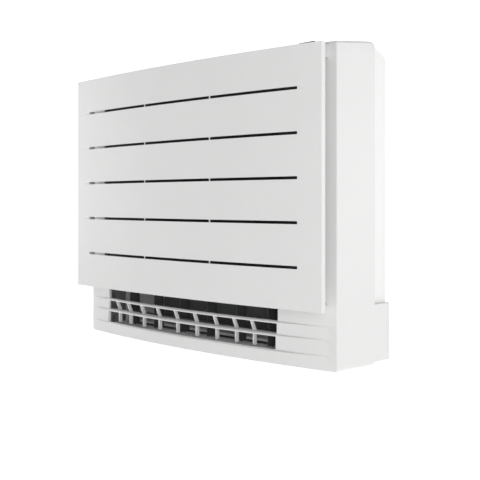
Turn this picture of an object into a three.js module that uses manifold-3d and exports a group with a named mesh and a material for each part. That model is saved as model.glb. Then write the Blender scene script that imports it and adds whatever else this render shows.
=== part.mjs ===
// Floor standing room air conditioner, in millimetres.
// X runs to the right of somebody facing the unit, Y from the room to the wall, Z up.
// The origin is the middle of the footprint, on the floor.
import * as THREE from 'three';
import { mergeVertices } from 'three/addons/utils/BufferGeometryUtils.js';
import Module from 'manifold-3d';

const wasm = await Module();
wasm.setup();

// ---------------------------------------------------------------- driving dimensions

const WIDTH = 750;
const HEIGHT = 600;
const DEPTH = 238;
const HALF_WIDTH = WIDTH / 2;
const FRONT_Y = -DEPTH / 2;
const WALL_Y = DEPTH / 2;

const FIT = 0.3; // gap between pieces that seat on each other
const RUNNING_FIT = 0.4; // radial gap round a pin that turns
const BOW_PITCH = 37.5; // straight pieces along a bowed front

// Front casing: bowed face, flat sides, top that rises towards the wall
const CASING_WALL = 3;
const CORNER_Y = FRONT_Y + 62;
const FACE_BOW = 28.9;
const SIDE_REAR_Y = WALL_Y - 67;
const TOP_LEVEL_Y = SIDE_REAR_Y - 14;
const TOP_SLOPE = 0.111;
const TOP_REAR_RADIUS = 8;
const LEDGE_STEP = 3;
const LEDGE_TOPS = [79.5, 55.5, 26.5];
const REAR_LIP = 30; // the casing's top turned down behind

// Air path: what is left between the left side's pipe room and the electrical side
const PIPE_ROOM = 57;
const ELECTRICAL_ROOM = 123;
const FLOW_WIDTH = WIDTH - PIPE_ROOM - ELECTRICAL_ROOM;
const FLOW_X = PIPE_ROOM + FLOW_WIDTH / 2 - HALF_WIDTH;
const OUTLET_INSET = 14; // of each outlet's end, from the inlet's end
const OUTLET_WIDTH = FLOW_WIDTH - 2 * OUTLET_INSET;

// Inlet in the casing's face, and the two filters behind it
const INLET_BOTTOM = 130;
const INLET_TOP = HEIGHT - 70;
const MULLION = 6;
const FILTER_THICK = 4;
const FILTER_OVERLAP = 5;
const FILTER_TRAVEL = 18;
const RAIL_THICK = 2.5;
const RAIL_LIP = 6;

// Front panel
const PANEL_BOTTOM = 109;
const PANEL_TOP = HEIGHT - 16.6;
const PANEL_BOW = 19.6;
const PANEL_SKIN = 3;
const PANEL_RIM_DEPTH = 10;
const PANEL_RIM_WALL = 2.5;
const SLOT_COUNT = 5;
const SLOT_LOW_MARGIN = 76.6;
const SLOT_HIGH_MARGIN = 77;
const SLOT_HEIGHT = 5.5;
const SLOT_END_MARGIN = 53;
const SLOT_BRIDGE_X = 102;
const SLOT_BRIDGE = 4;
const HINGE_X = HALF_WIDTH - 85;
const HINGE_Y = FRONT_Y + 35;
const HINGE_Z = PANEL_BOTTOM + 11;
const HINGE_PIN_R = 2.5;
const HINGE_EYE_R = 5.5;
const HINGE_EYE_WIDTH = 6;
const HINGE_ARM = 5;
const CATCH_X = HALF_WIDTH - 113;
const CATCH_Z = PANEL_TOP - 20.4;

// Lower outlet grille
const LOWER_TOP = 104;
const BAR_HEIGHT = 5;
const BAR_DEPTH = 9;
const RIB_CENTRE_X = FLOW_X - 18.5;
const RIB_PAIRS = 4;
const RIB_PITCH = 62.5;
const RIB_CROWDING = 0.42;
const RIB_THICK = 3;
const RIB_SETBACK = 10;
const RIB_DEPTH = 8;

// Heat exchanger and drain pan
const COIL_FRONT = CORNER_Y + 14.7;
const COIL_DEPTH = 21;
const COIL_WIDTH = OUTLET_WIDTH - 2;
const COIL_TOP = INLET_TOP - 10;
const COIL_BOTTOM = INLET_BOTTOM - 6;
const FIN_GROOVES = 22;
const FIN_GROOVE_WIDTH = 2;
const FIN_GROOVE_DEPTH = 3;
const END_PLATE = 1.5;
const PAN_BOTTOM = 112;
const PAN_HEIGHT = 22;
const PAN_WALL = 2.5;
const PAN_END_ROOM = 8;
const SPOUT_R = 7;
const SPOUT_BORE_R = 5;
const SPOUT_LENGTH = 12;
const HEADER_R = 5;
const HEADER_STANDOFF = 10;

// Fan and its motor
const ORIFICE_Y = COIL_FRONT + COIL_DEPTH + 3.3;
const ORIFICE_THICK = 2.5;
const ORIFICE_R = 118;
const FAN_R = 165;
const FAN_Z = (INLET_BOTTOM + INLET_TOP) / 2 - 18;
const FAN_MOUTH_R = 124;
const FAN_FRONT_Y = ORIFICE_Y + 10;
const FAN_WIDTH = 66;
const FAN_REAR_Y = FAN_FRONT_Y + FAN_WIDTH;
const BLADES = 7;
const HUB_R = 62;
const HUB_FRONT_Y = FAN_FRONT_Y + 34;
const HUB_WALL = 2.5;
const SHAFT_R = 4;
const NUT_R = 8;
const BACK_Y = WALL_Y - 13;
const MOTOR_R = 55;
const MOTOR_FRONT_Y = HUB_FRONT_Y + 6;
const MOTOR_REAR_Y = BACK_Y - 14;
const MOTOR_LUG_R = 68;
const MOTOR_LUGS = 3;
const LUG_EYE_R = 9;
const LUG_THICK = 6;

// Rear frame, scroll walls, wall plate
const FRAME_INSET = 24;
const FRAME_X = HALF_WIDTH - FRAME_INSET;
const FRAME_WALL = 2.5;
const FRAME_TOP = HEIGHT - 3;
const BACK_THICK = 3;
const CHAMFER_START_Y = BACK_Y - 22;
const CHAMFER_END_Z = HEIGHT - 17;
const WALL_PLATE = 1.5;
const WALL_PLATE_HALF_WIDTH = FRAME_X - 21;
const WALL_PLATE_BOTTOM = 60;
const WALL_PLATE_TOP = FRAME_TOP - 37;
const WINDOW_BORDER = 60;
const REAR_RIB_THICK = 4;
const REAR_RIB_INSET = 20; // of the rear ribs, from the edges of the wall plate that they back
const PIPE_COVER_TOP = 110;
const PIPE_COVER_INSET = 15;

// Upper outlet with its flap
const UPPER_FRONT_Y = CORNER_Y + 32;
const UPPER_REAR_Y = SIDE_REAR_Y - 13.5;
const UPPER_BOTTOM = INLET_TOP - 3.5;
const FLAP_FRONT_Y = UPPER_FRONT_Y + 1;
const FLAP_REAR_Y = UPPER_REAR_Y - 5.5;
const FLAP_AXIS_Y = FLAP_REAR_Y - 21;
const FLAP_AXIS_Z = HEIGHT - 17;
const FLAP_THICK = 3;
const FLAP_PIN_R = 2.2;
const FLAP_END_GAP = 1;

// Swing vanes in both outlets
const VANES = 6;
const VANE_END_ROOM = 51;
const VANE_PITCH = (OUTLET_WIDTH - 2 * VANE_END_ROOM) / (VANES - 1);
const VANE_THICK = 1.6;
const VANE_PIN_R = 1.5;
const VANE_ARM = 12; // from a vane's pivot to its link pin
const LINK_PIN_R = 1.2;
const LINK_PIN_FIT = 0.45;
const PRONG = 1.6;
const UPPER_PIVOT_Z = UPPER_BOTTOM + 24.5;
const LOWER_PIVOT_Y = CORNER_Y + 33;

// Lower duct with its shutter
const DUCT_FLOOR = 20.5;
const DUCT_CEILING = LOWER_TOP + 2;
const SHUTTER_Y = LOWER_PIVOT_Y + 19;
const SHUTTER_Z = DUCT_FLOOR + 5.5;
const SHUTTER_LENGTH = DUCT_CEILING - SHUTTER_Z - 5;
const SHUTTER_THICK = 2.5;
const SHUTTER_PIN_R = 2;
const SHUTTER_TAIL_ROOM = 1.7; // behind the lying shutter, before the duct's floor curls up

// Stepping motors of the flap and the shutter
const STEP_MOTOR_LENGTH = 17;
const STEP_MOTOR_R = 9.5;
const STEP_MOTOR_EAR = 6;

// Electrical side, right of the air path
const BOX_RIGHT = HALF_WIDTH - 31;
const BOX_FRONT = ORIFICE_Y + 6;
const BOX_REAR = SIDE_REAR_Y + 10;
const BOX_BOTTOM = INLET_BOTTOM + 20;
const BOX_TOP = INLET_TOP - 30;
const BOX_WALL = 2;
const BOARD_MARGIN = 10;
const BOARD_END_MARGIN = 20;
const BOARD_THICK = 1.6;
const BOARD_REAR = BOX_REAR - 18;
const BOARD_POST_R = 4;
const BOARD_POST_INSET = 8;
const CAPACITORS = 3;
const CAPACITOR_R = 9;
const CAPACITOR_PITCH = 24;
const CAPACITOR_LENGTH = 28;
const RELAY_WIDTH = 32;
const RELAY_HEIGHT = 22;
const RELAY_DEPTH = 16;
const SINK_WIDTH = 28;
const SINK_HEIGHT = 80;
const SINK_DEPTH = 24;
const TERMINAL_WAYS = 4;
const TERMINAL_PITCH = 14;
const TERMINAL_HEIGHT = 24;
const TERMINAL_DEPTH = 22;
const TERMINAL_FRONT = BOX_FRONT + 16;
const SENSOR_Z = INLET_TOP - 75;
const SENSOR_R = 2.5;

// Receiver and button at the top right
const RECEIVER_X = HALF_WIDTH - 48;
const RECEIVER_WIDTH = 60;
const RECEIVER_WALL = 2;
const RECEIVER_FRONT = FRONT_Y + 31;
const RECEIVER_HEIGHT = 24;
const RECEIVER_TOP = PANEL_TOP + 0.6;
const RECEIVER_BOTTOM = RECEIVER_TOP - RECEIVER_HEIGHT;
const LENS_X = HALF_WIDTH - 50;
const LENS_WIDTH = 32;
const LENS_FRONT = RECEIVER_FRONT + 2;
const LENS_REAR = LENS_FRONT + 20;
const LENS_TOP = RECEIVER_TOP + 6.2;
const BUTTON_X = HALF_WIDTH - 37;
const BUTTON_Y = UPPER_FRONT_Y;
const BUTTON_R = 6;
const BUTTON_LENGTH = 15;
const BUTTON_PROUD = 1.2;

// Refrigerant pipes
const GAS_R = 6.4;
const LIQUID_R = 3.2;
const NUT_X = HALF_WIDTH - 57;
const NUT_LENGTH = 20;
const GAS_Y = BACK_Y - 26;
const GAS_Z = 88;
const LIQUID_Y = BACK_Y - 50;
const LIQUID_Z = 66;

// Screws, and the posts that the casing is screwed to
const SCREW_R = 2;
const SCREW_HEAD_R = 4;
const SCREW_HEAD = 2.5;
const CASING_SCREW_X = HALF_WIDTH - 25;
const CASING_SCREW_Z = 118;
const POST_FRONT = CORNER_Y + 9;
const POST_DEPTH = 10;
const POST_HALF = 6;
const POST_TOP = CASING_SCREW_Z + 7;

// ---------------------------------------------------------------- colours and finishes

const finish = (color, roughness, metalness = 0) => ({ color, roughness, metalness });
const WHITE = finish(0xf1f1ef, 0.42);
const INNER_WHITE = finish(0xe4e5e3, 0.55);
const FOAM = finish(0xf2f2ee, 0.9);
const DARK = finish(0x2c2e30, 0.6);
const MESH = finish(0x3a3d40, 0.8);
const FAN_GREY = finish(0x8d9397, 0.55);
const STEEL = finish(0xb9bdc0, 0.4, 0.9);
const ALUMINIUM = finish(0xc9cdd0, 0.35, 0.9);
const COPPER = finish(0xb8734a, 0.35, 1);
const BRASS = finish(0xc8a75a, 0.35, 1);
const BOARD = finish(0x2f6b45, 0.6);
const LENS = finish(0x17181a, 0.15);

// ---------------------------------------------------------------- solids

const PIN_SIDES = 8;
const RING_SIDES = 32;

const X_AXIS = new THREE.Vector3(1, 0, 0);
const Y_AXIS = new THREE.Vector3(0, 1, 0);
const Z_AXIS = new THREE.Vector3(0, 0, 1);

// A closed three.js geometry as a solid that can be cut and joined
function solid(geometry) {
  const bare = geometry.clone();
  bare.deleteAttribute('normal');
  bare.deleteAttribute('uv');
  const merged = mergeVertices(bare, 1e-4);
  return new wasm.Manifold(new wasm.Mesh({
    numProp: 3,
    vertProperties: Float32Array.from(merged.attributes.position.array),
    triVerts: Uint32Array.from(merged.index.array),
  }));
}

function join(first, ...rest) {
  return rest.reduce((whole, piece) => whole.add(piece), first);
}

function cut(first, ...rest) {
  return rest.reduce((whole, piece) => whole.subtract(piece), first);
}

function box(x0, x1, y0, y1, z0, z1) {
  const geometry = new THREE.BoxGeometry(x1 - x0, y1 - y0, z1 - z0);
  geometry.translate((x0 + x1) / 2, (y0 + y1) / 2, (z0 + z1) / 2);
  return solid(geometry);
}

function outline(points) {
  return new THREE.Shape(points.map(([a, b]) => new THREE.Vector2(a, b)));
}

// A plan outline of [x, y] points, pulled up from z0 to z1
function plan(points, z0, z1) {
  const geometry = new THREE.ExtrudeGeometry(outline(points), { depth: z1 - z0, bevelEnabled: false });
  geometry.translate(0, 0, z0);
  return solid(geometry);
}

// A side outline of [y, z] points, pulled across from x0 to x1
function side(points, x0, x1) {
  const geometry = new THREE.ExtrudeGeometry(outline(points), { depth: x1 - x0, bevelEnabled: false });
  geometry.applyMatrix4(new THREE.Matrix4().makeBasis(Y_AXIS, Z_AXIS, X_AXIS));
  geometry.translate(x0, 0, 0);
  return solid(geometry);
}

// A front outline of [x, z] points, pulled from y0 back to y1
function front(points, y0, y1) {
  const geometry = new THREE.ExtrudeGeometry(outline(points), { depth: y1 - y0, bevelEnabled: false });
  geometry.applyMatrix4(new THREE.Matrix4().makeBasis(X_AXIS, Z_AXIS, Y_AXIS.clone().negate()));
  geometry.translate(0, y1, 0);
  return solid(geometry);
}

// Round bars along each axis, from a to b along the axis
function rodX(radius, a, b, y, z, sides = PIN_SIDES) {
  const geometry = new THREE.CylinderGeometry(radius, radius, b - a, sides);
  geometry.rotateZ(Math.PI / 2);
  geometry.translate((a + b) / 2, y, z);
  return solid(geometry);
}

function rodY(radius, a, b, x, z, sides = PIN_SIDES) {
  const geometry = new THREE.CylinderGeometry(radius, radius, b - a, sides);
  geometry.translate(x, (a + b) / 2, z);
  return solid(geometry);
}

function rodZ(radius, a, b, x, y, sides = PIN_SIDES) {
  const geometry = new THREE.CylinderGeometry(radius, radius, b - a, sides);
  geometry.rotateX(Math.PI / 2);
  geometry.translate(x, y, (a + b) / 2);
  return solid(geometry);
}

// A closed [radius, y] outline turned about the fan's axis
function turned(points, sides = RING_SIDES) {
  const corners = points.map(([r, y]) => new THREE.Vector2(r, y));
  if (THREE.ShapeUtils.area(corners) < 0) corners.reverse();
  const profile = [...corners, corners[0]];
  const geometry = new THREE.LatheGeometry(profile, sides);
  geometry.translate(FLOW_X, 0, FAN_Z);
  return solid(geometry);
}

// A round pipe along a smooth route of [x, y, z] points
function pipe(radius, points, quarterSides = 4, steps = 18) {
  const circle = new THREE.Shape();
  circle.absarc(0, 0, radius, 0, Math.PI * 2);
  const route = new THREE.CatmullRomCurve3(points.map((p) => new THREE.Vector3(...p)), false, 'centripetal');
  const options = { steps, curveSegments: quarterSides, bevelEnabled: false, extrudePath: route };
  return solid(new THREE.ExtrudeGeometry(circle, options));
}

const object = new THREE.Group();

function place(name, shape, { color, roughness, metalness }) {
  const { vertProperties, triVerts } = shape.getMesh();
  const geometry = new THREE.BufferGeometry();
  geometry.setAttribute('position', new THREE.BufferAttribute(vertProperties, 3));
  geometry.setIndex(new THREE.BufferAttribute(triVerts, 1));
  geometry.computeVertexNormals();
  const material = new THREE.MeshStandardMaterial({ color, roughness, metalness });
  const mesh = new THREE.Mesh(geometry, material);
  mesh.name = name;
  object.add(mesh);
}

// ---------------------------------------------------------------- shared places

const flowSide = (width, way) => FLOW_X + (way * width) / 2;
const INLET_LEFT = flowSide(FLOW_WIDTH, -1);
const INLET_RIGHT = flowSide(FLOW_WIDTH, 1);
const OUTLET_LEFT = flowSide(OUTLET_WIDTH, -1);
const OUTLET_RIGHT = flowSide(OUTLET_WIDTH, 1);

// The scroll's side walls stand just inside the outlet's ends
const SCROLL_LEFT = OUTLET_LEFT;
const SCROLL_RIGHT = OUTLET_RIGHT;
const DUCT_LEFT = SCROLL_LEFT + FIT;
const DUCT_RIGHT = SCROLL_RIGHT - FIT;
const NOZZLE_LEFT = DUCT_LEFT + FRAME_WALL;
const NOZZLE_RIGHT = DUCT_RIGHT - FRAME_WALL;

const bow = (x, cornerY, rise) => cornerY - rise * (1 - (x / HALF_WIDTH) ** 2);

// How much of a ledge is left at x: all of it over the outlet, none at the corners
function ledgeShare(x) {
  const room = x > 0 ? HALF_WIDTH - OUTLET_RIGHT : HALF_WIDTH + OUTLET_LEFT;
  const t = Math.max(0, Math.min(1, (HALF_WIDTH - Math.abs(x)) / room));
  return t * t * (3 - 2 * t);
}

// Bowed faces are flat between shared stations, so that pieces that follow one another keep their gap
const PANES = Math.round(WIDTH / BOW_PITCH);
const stationX = (i) => -HALF_WIDTH + (WIDTH * i) / PANES;

function faceted(curve) {
  return (x) => {
    const pane = Math.max(0, Math.min(PANES - 1, Math.floor(((x + HALF_WIDTH) * PANES) / WIDTH)));
    const share = (x - stationX(pane)) / (WIDTH / PANES);
    return curve(stationX(pane)) * (1 - share) + curve(stationX(pane + 1)) * share;
  };
}

const panelFrontY = faceted((x) => bow(x, FRONT_Y + PANEL_BOW, PANEL_BOW));

// The casing's outer face, for the band that is so many ledges back from the foot
const bandFaces = [...LEDGE_TOPS, HEIGHT].map((_, ledges) => (
  faceted((x) => bow(x, CORNER_Y, FACE_BOW) + LEDGE_STEP * ledges * ledgeShare(x))
));
const faceY = (x, ledges) => bandFaces[ledges](x);
const UPPER_FACE = LEDGE_TOPS.length;
const innerFaceY = (x) => faceY(x, UPPER_FACE) + CASING_WALL;
const topZ = (y) => Math.min(HEIGHT, HEIGHT - (TOP_LEVEL_Y - y) * TOP_SLOPE);

function stations(x0, x1) {
  const inner = Array.from({ length: PANES + 1 }, (_, i) => stationX(i));
  return [x0, ...inner.filter((x) => x > x0 + 0.01 && x < x1 - 0.01), x1];
}

// A plan slab between two curves of x
function slab(x0, x1, nearY, farY, z0, z1) {
  const xs = stations(x0, x1);
  const near = xs.map((x) => [x, nearY(x)]);
  const far = xs.map((x) => [x, farY(x)]).reverse();
  return plan([...near, ...far], z0, z1);
}

function arc(cy, cz, radius, from, to, steps = 6) {
  return Array.from({ length: steps + 1 }, (_, i) => {
    const angle = THREE.MathUtils.degToRad(from + ((to - from) * i) / steps);
    return [cy + radius * Math.cos(angle), cz + radius * Math.sin(angle)];
  });
}

// ---------------------------------------------------------------- front casing

const filterFrontY = (x) => innerFaceY(x) + FIT;
const filterRearY = (x) => filterFrontY(x) + FILTER_THICK;
const railFrontY = (x) => filterRearY(x) + FIT;
const FILTER_BOTTOM = INLET_BOTTOM - FILTER_OVERLAP;
const FILTER_TOP = INLET_TOP + FILTER_OVERLAP;
const RAIL_BOTTOM = FILTER_BOTTOM - FIT - RAIL_THICK;
const RAIL_TOP = FILTER_TOP + FILTER_TRAVEL + FIT;

// A vertical guide with a web at webX and a lip reaching past the filter's edge
function filterRail(webX, lipLeft, lipRight) {
  const reach = CASING_WALL / 2;
  const web = slab(
    webX - RAIL_THICK / 2, webX + RAIL_THICK / 2,
    (x) => innerFaceY(x) - reach, (x) => railFrontY(x) + RAIL_THICK,
    RAIL_BOTTOM, RAIL_TOP,
  );
  const lip = slab(lipLeft, lipRight, railFrontY, (x) => railFrontY(x) + RAIL_THICK, RAIL_BOTTOM, RAIL_TOP);
  return join(web, lip);
}

function casingTopOutline(inset, bottom) {
  const rearY = SIDE_REAR_Y - inset;
  const cornerR = TOP_REAR_RADIUS - inset;
  const frontY = FRONT_Y - 20;
  return [
    [frontY, bottom],
    [rearY, bottom],
    ...arc(rearY - cornerR, HEIGHT - inset - cornerR, cornerR, 0, 90),
    [TOP_LEVEL_Y, HEIGHT - inset],
    [frontY, topZ(frontY) - inset],
  ];
}

const REAR_LIP_BOTTOM = HEIGHT - REAR_LIP;

function frontCasing() {
  const bandTops = [HEIGHT + 1, ...LEDGE_TOPS];
  const bands = bandTops.map((top, band) => {
    const xs = stations(-HALF_WIDTH, HALF_WIDTH);
    const face = xs.map((x) => [x, faceY(x, UPPER_FACE - band)]);
    return plan([...face, [HALF_WIDTH, SIDE_REAR_Y], [-HALF_WIDTH, SIDE_REAR_Y]], 0, top);
  });
  const outer = join(...bands).intersect(side(casingTopOutline(0, 0), -HALF_WIDTH, HALF_WIDTH));

  const inside = HALF_WIDTH - CASING_WALL;
  const hollowPlan = slab(-inside, inside, innerFaceY, () => SIDE_REAR_Y + 1, -1, HEIGHT);
  const hollow = hollowPlan.intersect(side(casingTopOutline(CASING_WALL, -1), -inside, inside));
  const openBack = box(-inside, inside, 0, SIDE_REAR_Y + 1, -1, REAR_LIP_BOTTOM);

  const inletDeep = [FRONT_Y, 0];
  const leftInlet = box(INLET_LEFT, FLOW_X - MULLION / 2, ...inletDeep, INLET_BOTTOM, INLET_TOP);
  const rightInlet = box(FLOW_X + MULLION / 2, INLET_RIGHT, ...inletDeep, INLET_BOTTOM, INLET_TOP);
  const lowerOutlet = box(OUTLET_LEFT, OUTLET_RIGHT, FRONT_Y, 0, LEDGE_TOPS[2], LOWER_TOP);
  const upperOutlet = box(
    NOZZLE_LEFT - FLAP_END_GAP, NOZZLE_RIGHT + FLAP_END_GAP, UPPER_FRONT_Y, UPPER_REAR_Y,
    topZ(UPPER_FRONT_Y) - 2 * CASING_WALL, HEIGHT + 1,
  );
  const casing = cut(outer, hollow, openBack, leftInlet, rightInlet, lowerOutlet, upperOutlet);

  const edge = FILTER_OVERLAP + FIT + RAIL_THICK / 2;
  const leftRail = filterRail(INLET_LEFT - edge, INLET_LEFT - edge, INLET_LEFT);
  const rightRail = filterRail(INLET_RIGHT + edge, INLET_RIGHT, INLET_RIGHT + edge);
  const middleRail = filterRail(FLOW_X, FLOW_X - RAIL_LIP, FLOW_X + RAIL_LIP);
  const shelf = slab(
    INLET_LEFT - edge, INLET_RIGHT + edge,
    (x) => innerFaceY(x) - CASING_WALL / 2, (x) => railFrontY(x) + RAIL_THICK,
    RAIL_BOTTOM, RAIL_BOTTOM + RAIL_THICK,
  );

  const bossBottom = topZ(BUTTON_Y) + BUTTON_PROUD - BUTTON_LENGTH + 1.8;
  const bossR = BUTTON_R + RUNNING_FIT;
  const boss = rodZ(bossR + 2.5, bossBottom, topZ(BUTTON_Y) - CASING_WALL / 2, BUTTON_X, BUTTON_Y, 24);
  const bore = rodZ(bossR, bossBottom - 1, HEIGHT + 1, BUTTON_X, BUTTON_Y, 24);

  const brackets = [-1, 1].map((way) => {
    const x = way * HINGE_X;
    const arm = side([
      [innerFaceY(x) - CASING_WALL / 2, HINGE_Z - 7],
      [innerFaceY(x) - CASING_WALL / 2, HINGE_Z + 8],
      ...arc(HINGE_Y, HINGE_Z, HINGE_EYE_R, 90, 270),
    ], x - HINGE_EYE_WIDTH / 2, x + HINGE_EYE_WIDTH / 2);
    const bore = rodX(
      HINGE_PIN_R + RUNNING_FIT, x - HINGE_EYE_WIDTH, x + HINGE_EYE_WIDTH, HINGE_Y, HINGE_Z,
    );
    return cut(arm, bore);
  });
  const screwHoles = [-1, 1].map((way) => (
    rodY(SCREW_R + FIT, FRONT_Y, 0, way * CASING_SCREW_X, CASING_SCREW_Z)
  ));
  return cut(join(casing, leftRail, rightRail, middleRail, shelf, boss, ...brackets), bore, ...screwHoles);
}

place('front_casing', frontCasing(), WHITE);

// ---------------------------------------------------------------- front panel

const panelRimY = (x) => panelFrontY(x) + PANEL_RIM_DEPTH;
const panelInnerY = (x) => panelFrontY(x) + PANEL_SKIN;
const HINGE_FORK = HINGE_EYE_WIDTH / 2 + FIT + 0.2;
const TONGUE_HALF = 6;
const TONGUE_THICK = 2.8;
const TONGUE_REAR = FRONT_Y + 45;

function slotBoxes() {
  const halfSpan = HALF_WIDTH - SLOT_END_MARGIN;
  const ends = [-halfSpan, -SLOT_BRIDGE_X, SLOT_BRIDGE_X, halfSpan];
  const lowest = PANEL_BOTTOM + SLOT_LOW_MARGIN;
  const pitch = (PANEL_TOP - SLOT_HIGH_MARGIN - lowest) / (SLOT_COUNT - 1);
  const rows = Array.from({ length: SLOT_COUNT }, (_, row) => lowest + row * pitch);
  return rows.flatMap((z) => [0, 1, 2].map((part) => {
    const left = ends[part] + (part > 0 ? SLOT_BRIDGE / 2 : 0);
    const right = ends[part + 1] - (part < 2 ? SLOT_BRIDGE / 2 : 0);
    return box(left, right, FRONT_Y - 1, 0, z - SLOT_HEIGHT / 2, z + SLOT_HEIGHT / 2);
  }));
}

// Each hinge arm reaches back beside its bracket, with a pin through the bracket's eye
function panelHinge(way) {
  const x = way * HINGE_X;
  const inner = x - way * (HINGE_FORK + HINGE_ARM);
  const outer = x - way * HINGE_FORK;
  const arm = side([
    [panelInnerY(inner) - 1, HINGE_Z - 5],
    ...arc(HINGE_Y, HINGE_Z, HINGE_EYE_R - 0.5, -90, 90),
    [panelInnerY(inner) - 1, HINGE_Z + 12],
  ], Math.min(inner, outer), Math.max(inner, outer));
  const pinEnd = x + way * 5;
  return join(arm, rodX(HINGE_PIN_R, Math.min(outer, pinEnd), Math.max(outer, pinEnd), HINGE_Y, HINGE_Z));
}

function frontPanel() {
  const shell = slab(-HALF_WIDTH, HALF_WIDTH, panelFrontY, panelRimY, PANEL_BOTTOM, PANEL_TOP);
  const inside = HALF_WIDTH - PANEL_RIM_WALL;
  const hollow = slab(
    -inside, inside, panelInnerY, () => 0,
    PANEL_BOTTOM + PANEL_RIM_WALL, PANEL_TOP - PANEL_RIM_WALL,
  );
  const tongues = [-1, 1].map((way) => {
    const x = way * CATCH_X;
    const y = panelInnerY(x) - 1;
    const z = TONGUE_THICK / 2;
    return box(x - TONGUE_HALF, x + TONGUE_HALF, y, TONGUE_REAR, CATCH_Z - z, CATCH_Z + z);
  });
  return join(cut(shell, hollow, ...slotBoxes()), panelHinge(-1), panelHinge(1), ...tongues);
}

place('front_panel', frontPanel(), WHITE);

// The catches on the casing's face that the panel's tongues press into
const CATCH_HALF = 10;
const CATCH_HEIGHT = 14;
const CATCH_DEPTH = 17;

function panelCatch(way) {
  const x = way * CATCH_X;
  const body = slab(
    x - CATCH_HALF, x + CATCH_HALF,
    () => faceY(x, UPPER_FACE) - CATCH_DEPTH, (at) => faceY(at, UPPER_FACE) - FIT,
    CATCH_Z - CATCH_HEIGHT / 2, CATCH_Z + CATCH_HEIGHT / 2,
  );
  const reach = TONGUE_HALF + FIT;
  const gap = TONGUE_THICK / 2 + FIT;
  return cut(body, box(x - reach, x + reach, FRONT_Y, TONGUE_REAR + 1, CATCH_Z - gap, CATCH_Z + gap));
}

place('panel_catch_left', panelCatch(-1), DARK);
place('panel_catch_right', panelCatch(1), DARK);

// ---------------------------------------------------------------- filters

function airFilter(x0, x1) {
  const body = slab(x0, x1, filterFrontY, filterRearY, FILTER_BOTTOM, FILTER_TOP);
  const border = 7;
  const rows = 4;
  const bar = 3;
  const cell = (FILTER_TOP - FILTER_BOTTOM - 2 * border + bar) / rows;
  const hollows = Array.from({ length: rows }, (_, row) => {
    const z0 = FILTER_BOTTOM + border + row * cell;
    const recess = (x) => filterFrontY(x) + FILTER_THICK * 0.6;
    return slab(x0 + border, x1 - border, () => FRONT_Y, recess, z0, z0 + cell - bar);
  });
  return cut(body, ...hollows);
}

const FILTER_SIDE = FILTER_OVERLAP;
const FILTER_MIDDLE = RAIL_THICK / 2 + FIT;
place('air_filter_left', airFilter(INLET_LEFT - FILTER_SIDE, FLOW_X - FILTER_MIDDLE), MESH);
place('air_filter_right', airFilter(FLOW_X + FILTER_MIDDLE, INLET_RIGHT + FILTER_SIDE), MESH);

// ---------------------------------------------------------------- lower outlet grille

const grilleRearY = (x) => faceY(x, UPPER_FACE - 1) + RIB_SETBACK + RIB_DEPTH;
const ribX = (i) => RIB_CENTRE_X + RIB_PITCH * i - RIB_CROWDING * i ** 3;

function lowerGrille() {
  const left = OUTLET_LEFT + FIT;
  const right = OUTLET_RIGHT - FIT;
  const bars = [1, 2].map((row) => slab(
    left, right,
    (x) => faceY(x, UPPER_FACE - row), (x) => faceY(x, UPPER_FACE - row) + BAR_DEPTH + (row - 1) * RIB_SETBACK,
    LEDGE_TOPS[row - 1] - BAR_HEIGHT, LEDGE_TOPS[row - 1],
  ));
  const foot = LEDGE_TOPS[2] + FIT;
  const ribs = Array.from({ length: RIB_PAIRS * 2 + 1 }, (_, i) => {
    const x = ribX(i - RIB_PAIRS);
    const face = faceY(x, UPPER_FACE - 1);
    return side([
      [face + 1, LEDGE_TOPS[0] - 1],
      [face + RIB_SETBACK, LEDGE_TOPS[1] - 1],
      [face + RIB_SETBACK, foot],
      [face + RIB_SETBACK + RIB_DEPTH, foot],
      [face + RIB_SETBACK + RIB_DEPTH, LEDGE_TOPS[1]],
      [face + BAR_DEPTH - 1, LEDGE_TOPS[0] - 1],
    ], x - RIB_THICK / 2, x + RIB_THICK / 2);
  });
  return join(...bars, ...ribs);
}

place('lower_outlet_grille', lowerGrille(), WHITE);

// ---------------------------------------------------------------- heat exchanger

const COIL_REAR = COIL_FRONT + COIL_DEPTH;
const COIL_LEFT = FLOW_X - COIL_WIDTH / 2;
const COIL_RIGHT = FLOW_X + COIL_WIDTH / 2;
const PAN_FLOOR = PAN_BOTTOM + PAN_WALL;

function finBlock() {
  const block = box(COIL_LEFT, COIL_RIGHT, COIL_FRONT, COIL_REAR, COIL_BOTTOM, COIL_TOP);
  const pitch = COIL_WIDTH / FIN_GROOVES;
  const grooves = Array.from({ length: FIN_GROOVES - 1 }, (_, i) => {
    const x = COIL_LEFT + pitch * (i + 1);
    const half = FIN_GROOVE_WIDTH / 2;
    const deep = [COIL_FRONT - 1, COIL_FRONT + FIN_GROOVE_DEPTH];
    return box(x - half, x + half, ...deep, COIL_BOTTOM - 1, COIL_TOP + 1);
  });
  return cut(block, ...grooves);
}

place('coil_fin_block', finBlock(), ALUMINIUM);

const RIGHT_PLATE = COIL_RIGHT + FIT;
const LEFT_PLATE = COIL_LEFT - FIT - END_PLATE;

function endPlate(x) {
  return box(x, x + END_PLATE, COIL_FRONT, COIL_REAR, PAN_FLOOR + FIT, COIL_TOP);
}

place('coil_end_plate_left', endPlate(LEFT_PLATE), STEEL);
place('coil_end_plate_right', endPlate(RIGHT_PLATE), STEEL);

const HEADER_X = RIGHT_PLATE + END_PLATE + HEADER_STANDOFF;
const HEADER_Y = COIL_FRONT + COIL_DEPTH / 2;
const HEADER_BOTTOM = COIL_BOTTOM + 24;
const HEADER_TOP = COIL_TOP - 14;
const STUBS = 6;

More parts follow.
